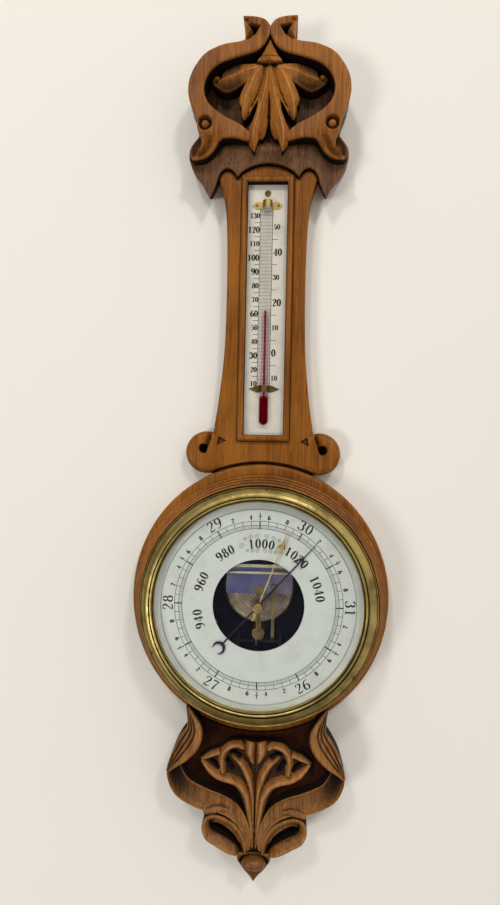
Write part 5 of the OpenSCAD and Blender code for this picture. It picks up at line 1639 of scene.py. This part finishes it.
SIX = [
    oval(0.3, 0.29, 0.2, 0.26),
    [[0.5, 0.86, 0.05], [0.39, 0.96, 0.03], [0.22, 0.83, 0.055], [0.11, 0.55, 0.08], [0.1, 0.3, 0.085]]]
NUMERALS = {
    "0": [oval(0.3, 0.5, 0.2, 0.46)],
    "1": [[[0.3, 0.01, 0.08], [0.3, 0.97, 0.08]], [[0.12, 0.8, 0.02], [0.3, 0.95, 0.035]],
          [[0.13, 0.02, 0.022], [0.47, 0.02, 0.022]]],
    "2": [[[0.13, 0.72, 0.07], [0.15, 0.87, 0.045], [0.3, 0.96, 0.03], [0.46, 0.86, 0.07], [0.46, 0.68, 0.08],
           [0.3, 0.4, 0.05], [0.1, 0.1, 0.025]],
          [[0.08, 0.06, 0.06], [0.36, 0.05, 0.06], [0.5, 0.1, 0.03], [0.53, 0.22, 0.02]]],
    "3": [oval(0.27, 0.74, 0.18, 0.21, 165, -80), oval(0.27, 0.28, 0.22, 0.25, 80, -160),
          [[0.1, 0.76, 0.06], [0.1, 0.8, 0.06]], [[0.07, 0.2, 0.07], [0.08, 0.24, 0.06]]],
    "4": [[[0.4, 0.01, 0.075], [0.4, 0.97, 0.075]], [[0.38, 0.95, 0.025], [0.05, 0.3, 0.025]],
          [[0.04, 0.28, 0.03], [0.57, 0.28, 0.03]], [[0.25, 0.02, 0.022], [0.55, 0.02, 0.022]]],
    "5": [[[0.14, 0.93, 0.06], [0.5, 0.93, 0.05]], [[0.14, 0.95, 0.025], [0.12, 0.52, 0.025]],
          [[0.12, 0.52, 0.025], [0.25, 0.61, 0.03], [0.42, 0.53, 0.07], [0.47, 0.32, 0.09], [0.4, 0.11, 0.06],
           [0.25, 0.03, 0.03], [0.1, 0.13, 0.06]]],
    "6": SIX,
    "7": [[[0.08, 0.92, 0.065], [0.52, 0.92, 0.055]],
          [[0.52, 0.92, 0.03], [0.36, 0.56, 0.055], [0.27, 0.02, 0.09]],
          [[0.08, 0.95, 0.025], [0.06, 0.76, 0.025]]],
    "8": [oval(0.3, 0.74, 0.16, 0.22, thick=0.075), oval(0.3, 0.27, 0.2, 0.25)],
    "9": [np.array([0.6, 1, 0]) - np.array(stroke) * [1, 1, -1] for stroke in SIX],
}
print("numerals:", "".join(NUMERALS))

# %% [markdown]
# A stroke becomes a film of ink a twentieth of a millimetre thick, which is geometry like the rest, so
# that no picture file is needed and the print stays sharp from near by.

# %% Print a number
INK_FILM = 0.05
CELL_WIDE = 0.6


def ink_section(across, half_width, height, way):
    """A flat film of ink."""
    return np.full(len(across), INK_FILM), np.zeros(len(across))


def ink_line(rows, surface, steps=3):
    """A film of ink along rows of x, z and half width."""
    return strap(rows, surface, ink_section, steps if len(rows) > 2 else 1, np.array([-1.0, 1.0]))


def number(text, x, z, size, surface, turn=0.0, spread=0.62, bold=1.0, wide=1.0):
    """Numerals in a row round a middle point, turned by an angle in degrees."""
    along = arc(0, 0, 1, turn, turn, 0)[0]
    up = np.array([-along[1], along[0]])
    made = []
    for k, letter in enumerate(text):
        left = (k - len(text) / 2) * spread + (spread - CELL_WIDE) / 2
        for stroke in NUMERALS[letter]:
            right, high, pen = np.array(stroke, dtype=float).T * size
            right = (right + left * size) * wide
            spot = np.outer(right, along) + np.outer(high - size / 2, up) + [x, z]
            made.append(ink_line(np.column_stack([spot, pen * bold]), surface))
    return merged(*made)


print("ink is", INK_FILM, "mm thick")

# %% [markdown]
# ## The dial's print
#
# The ring is divided in inches of mercury, sixty degrees to the inch, from 26 on the lower right round to
# 31 on the right. Every inch has fifty ticks, its even tenths and its half are numbered, and numerals in
# the lower half are turned so that they read upright.

# %% Ring of the dial
DIAL_FRONT = 46.0
DEGREES_PER_INCH = 60.0
TICKS_PER_INCH = 50
INCHES = range(26, 32)
FIRST_ANGLE = 300.0
RING_LINES = ((75.0, 0.22), (78.4, 0.2), (82.3, 0.24))
FINE_TICK = (75, 78.4, 0.16)
TENTH_TICK = (75, 82.3, 0.24)
HALF_INCH_TICK = (74.6, 82.6, 0.6)
FRACTION_R = 87.4


def inch_angle(inch):
    """The angle of a reading on the dial."""
    return FIRST_ANGLE - DEGREES_PER_INCH * (inch - INCHES[0])


def dial_line(start, end, half_width):
    """A straight line of ink between two places on the dial."""
    return ink_line([[*start, half_width], [*end, half_width]], DIAL_FRONT)


def on_ring(text, radius, angle, size, **style):
    """A number that stands on the ring and reads upright."""
    turn = angle + 90 if 190 < angle % 360 < 350 else angle - 90
    return number(text, *on_dial(radius, angle), size, DIAL_FRONT, turn, **style)


ring = [flat_ring(radius - half, radius + half, DIAL_FRONT, INK_FILM, 240) for radius, half in RING_LINES]
for step in range(TICKS_PER_INCH * len(INCHES)):
    angle = FIRST_ANGLE - step * DEGREES_PER_INCH / TICKS_PER_INCH
    inner, outer, half = FINE_TICK if step % 5 else TENTH_TICK if step % 25 else HALF_INCH_TICK
    ring.append(dial_line(on_dial(inner, angle), on_dial(outer, angle), half))
for inch in INCHES:
    ring.append(on_ring(str(inch), 89, inch_angle(inch), 10, spread=0.66, bold=1.05, wide=1.2))
    for tenth in (2, 4, 6, 8):
        ring.append(on_ring(str(tenth), 86.2, inch_angle(inch + tenth / 10), 4.4, bold=1.9))
    middle = inch_angle(inch + 0.5)
    ring.append(on_ring("1", 89.2, middle, 3.2, bold=1.8))
    ring.append(on_ring("2", 85.6, middle, 3.2, bold=1.8))
    ring.append(dial_line(on_dial(FRACTION_R, middle - 1.4), on_dial(FRACTION_R, middle + 1.4), 0.2))
add_piece("dial_ring", merged(*ring), ink, "case", "navy_lacquer")

# %% [markdown]
# Within the ring stand plain pressure numbers in hectopascals, each at its true angle. Hairlines that wind
# in, as a writing master's flourish does, surround the top of the band.

# %% Pressure numbers of the dial
HECTOPASCALS_PER_INCH = 33.864
BAND_R = 60.5
BAND_SIZE = 9.2
FLOURISH_ANGLE = 88.0
FLOURISHES = (
    (4, 67.6, 2.6), (9.5, 67.2, 2.2), (14.5, 66.2, 1.8), (4, 53.4, 2.4), (9.5, 53.6, 2.0), (14.5, 54.4, 1.7),
    (19, BAND_R, 3.0))
HAIRLINE = 0.13


def spiral(x, z, size, start, turns, sense):
    """A hairline that winds in."""
    way = np.linspace(0, turns * 2 * math.pi, int(turns * 16))
    radius = size * (1 - 0.82 * way / way[-1])
    angles = math.radians(start) + sense * way
    pen = np.full(len(way), HAIRLINE)
    rows = np.stack([x + radius * np.cos(angles), z + radius * np.sin(angles), pen], axis=1)
    return ink_line(rows, DIAL_FRONT, 1)


band = []
pitch = math.degrees(0.72 * BAND_SIZE / BAND_R)
for pressure in range(940, 1041, 20):
    middle = inch_angle(pressure / HECTOPASCALS_PER_INCH)
    text = str(pressure)
    for k, letter in enumerate(text):
        angle = middle - (k - (len(text) - 1) / 2) * pitch
        band.append(number(letter, *on_dial(BAND_R, angle), BAND_SIZE, DIAL_FRONT, angle - 90, bold=1.25))
for side in (-1, 1):
    for reach, radius, size in FLOURISHES:
        spot = on_dial(radius, FLOURISH_ANGLE + side * reach)
        band.append(spiral(*spot, size, 90 - 90 * side, 1.9, side))
add_piece("dial_numbers", merged(*band), ink, "case", "navy_lacquer")

# %% [markdown]
# ## The thermometer's print
#
# A ladder of one-degree rungs runs behind the tube, with Fahrenheit numbers on its left and centigrade on
# its right. Every second centigrade number and some of the Fahrenheit ones are larger, as on the real
# plate.

# %% Ladder and numbers of the thermometer
PLATE_FRONT = 16.0
DEGREE = 1.4283
TEN_Z = -290.4
LADDER = (-7.3, 5.3)
LARGE_F = (120, 100, 90, 60, 30)
RUNG = 0.2
THICK_LINE = 0.26
MARK_LONG = 5.6


def at_fahrenheit(degrees):
    """Height of a temperature on the plate."""
    return TEN_Z + (degrees - 10) * DEGREE


def at_centigrade(degrees):
    """Height of a centigrade temperature on the plate."""
    return at_fahrenheit(degrees * 1.8 + 32)


def rung(left, right, z, half_width):
    """A level line on the plate."""
    return ink_line([[left, z, half_width], [right, z, half_width]], PLATE_FRONT)


left_rail, right_rail = LADDER
plate = []
for x in LADDER:
    plate.append(ink_line([[x, at_fahrenheit(end), THICK_LINE] for end in (7, 136)], PLATE_FRONT))
for degrees in range(8, 137):
    plate.append(rung(left_rail, right_rail, at_fahrenheit(degrees), RUNG))
for degrees in range(10, 131, 10):
    size = 6.4 if degrees in LARGE_F else 5.4
    text = str(degrees)
    x = left_rail - 0.6 - 0.3 * size * len(text)
    plate.append(number(text, x, at_fahrenheit(degrees), size, PLATE_FRONT, bold=1.6))
for degrees in range(15, 130, 10):
    plate.append(rung(left_rail - MARK_LONG, left_rail, at_fahrenheit(degrees), THICK_LINE))
for degrees in range(-10, 51, 10):
    size = 7.4 if degrees % 20 == 0 else 5.4
    text = str(abs(degrees))
    x = right_rail + 1.2 + 0.3 * size * len(text)
    plate.append(number(text, x, at_centigrade(degrees), size, PLATE_FRONT, bold=1.5))
    if degrees < 50:
        plate.append(rung(right_rail, right_rail + MARK_LONG, at_centigrade(degrees + 5), THICK_LINE))
add_piece("thermometer_print", merged(*plate), ink, "case", "navy_lacquer")

# %% [markdown]
# ## Wall, floor, lamps and camera
#
# The barometer hangs on a cream wall. From behind the wall is clear, so that the back can be looked at. It
# shows only to the camera and to reflections, so that it doesn't keep light from the back of the case, and
# the floor shows only to the camera.

# %% The stage
WALL_Y = 0.0006
FLOOR_Z = -1.35


def stage_plane(name, corners, colour, seen_by):
    """A plain pale surface that isn't part of the object; only some kinds of rays meet it, from its front."""
    mesh = bpy.data.meshes.new(name)
    mesh.from_pydata(corners, [], [(0, 1, 2, 3)])
    made, tree, shader = new_finish(name)
    uneven = noise(tree, stretched(tree, 3, 3, 3), detail=3)
    darker = (*(0.96 * part for part in colour[:3]), 1)
    tree.links.new(blended(tree, uneven, colour, darker), shader.inputs["Base Color"])
    shader.inputs["Roughness"].default_value = 0.9
    shader.inputs["Specular IOR Level"].default_value = 0.1
    path = put(tree, "ShaderNodeLightPath").outputs
    seen = 0.0
    for kind in seen_by:
        seen = maths(tree, "ADD", seen, path[kind], clamp=True)
    behind = put(tree, "ShaderNodeNewGeometry").outputs["Backfacing"]
    seen = times(tree, seen, minus(tree, 1.0, behind))
    mix_surface(tree, seen, put(tree, "ShaderNodeBsdfTransparent"), shader)
    mesh.materials.append(made)
    plane = bpy.data.objects.new(name, mesh)
    bpy.context.scene.collection.objects.link(plane)
    print(name, "seen by", seen_by)


stage_plane("wall", [(-3, WALL_Y, FLOOR_Z), (3, WALL_Y, FLOOR_Z), (3, WALL_Y, 2), (-3, WALL_Y, 2)],
            (0.82, 0.785, 0.715, 1), ("Is Camera Ray", "Is Glossy Ray", "Is Transmission Ray"))
stage_plane("floor", [(-3, -4, FLOOR_Z), (3, -4, FLOOR_Z), (3, 4, FLOOR_Z), (-3, 4, FLOOR_Z)],
            (0.66, 0.63, 0.58, 1), ("Is Camera Ray",))

# %% [markdown]
# Two small ceiling lamps, left and right, give the double shadow of a lit room. A larger one stands low on
# the left and lifts the undersides of the carving. The room itself glows, brighter above and on its right,
# and the camera sees an even pale backdrop in its place.

# %% Light
ROOM_BRIGHT = (0.82, 0.0, 0.57)
MIDDLE = (0, 0, -0.36)
LOW_TARGET = (0, 0, -0.6)
scene = bpy.context.scene
scene.view_settings.view_transform = "Standard"
room = bpy.data.worlds.new("room")
scene.world = room
room.use_nodes = True
tree = room.node_tree
glow = tree.nodes["Background"]
glow.inputs["Color"].default_value = (1.0, 0.98, 0.96, 1)
towards = put(tree, "ShaderNodeTexCoord").outputs["Generated"]
facing = vectors(tree, "DOT_PRODUCT", towards, ROOM_BRIGHT, output="Value")
strength = put(tree, "ShaderNodeMapRange", {
    "Value": facing, "From Min": -0.6, "From Max": 0.9, "To Min": 0.2, "To Max": 0.92})
tree.links.new(strength.outputs[0], glow.inputs["Strength"])
backdrop = put(tree, "ShaderNodeBackground", {"Color": (0.86, 0.83, 0.78, 1), "Strength": 1.0})
seen = put(tree, "ShaderNodeLightPath").outputs["Is Camera Ray"]
mix_surface(tree, seen, glow, backdrop, output="World Output")


def lamp(name, place, target, size, watts):
    """A soft square lamp that faces a point."""
    light = bpy.data.lights.new(name, "AREA")
    light.size = size
    light.energy = watts
    light.color = (1.0, 0.98, 0.95)
    made = bpy.data.objects.new(name, light)
    made.location = place
    made.rotation_euler = (Vector(target) - Vector(place)).to_track_quat("-Z", "Y").to_euler()
    scene.collection.objects.link(made)


lamp("ceiling_left", (-0.8, -2.4, 1.8), MIDDLE, 0.4, 26)
lamp("low_left", (-2.2, -3.0, -1.5), LOW_TARGET, 0.9, 44)
lamp("ceiling_right", (1.1, -2.5, 1.7), MIDDLE, 0.4, 26)

# %% [markdown]
# The photograph was taken close, a little from the right and with a slight lean. The camera stands in
# front of the point where the depth lines of the case meet, and its lens takes in the whole height.

# %% The camera
YAW = math.radians(3.24)
LEAN = math.radians(1.2)
STANDPOINT = (0.0248, -0.683, -0.3602)
camera = bpy.data.cameras.new("camera")
camera.sensor_fit = "VERTICAL"
camera.sensor_height = 36
camera.lens = 26.0
to_wall = Vector((0, 1, 0))
level = Vector((math.cos(LEAN), 0, math.sin(LEAN)))
upright = Vector((-math.sin(LEAN), 0, math.cos(LEAN)))
forward = to_wall * math.cos(YAW) - level * math.sin(YAW)
rightward = level * math.cos(YAW) + to_wall * math.sin(YAW)
viewer = bpy.data.objects.new("camera", camera)
axes = Matrix((rightward, upright, -forward)).transposed().to_4x4()
viewer.matrix_world = Matrix.Translation(STANDPOINT) @ axes
scene.collection.objects.link(viewer)
scene.camera = viewer
print("camera at", [round(v, 3) for v in viewer.location])
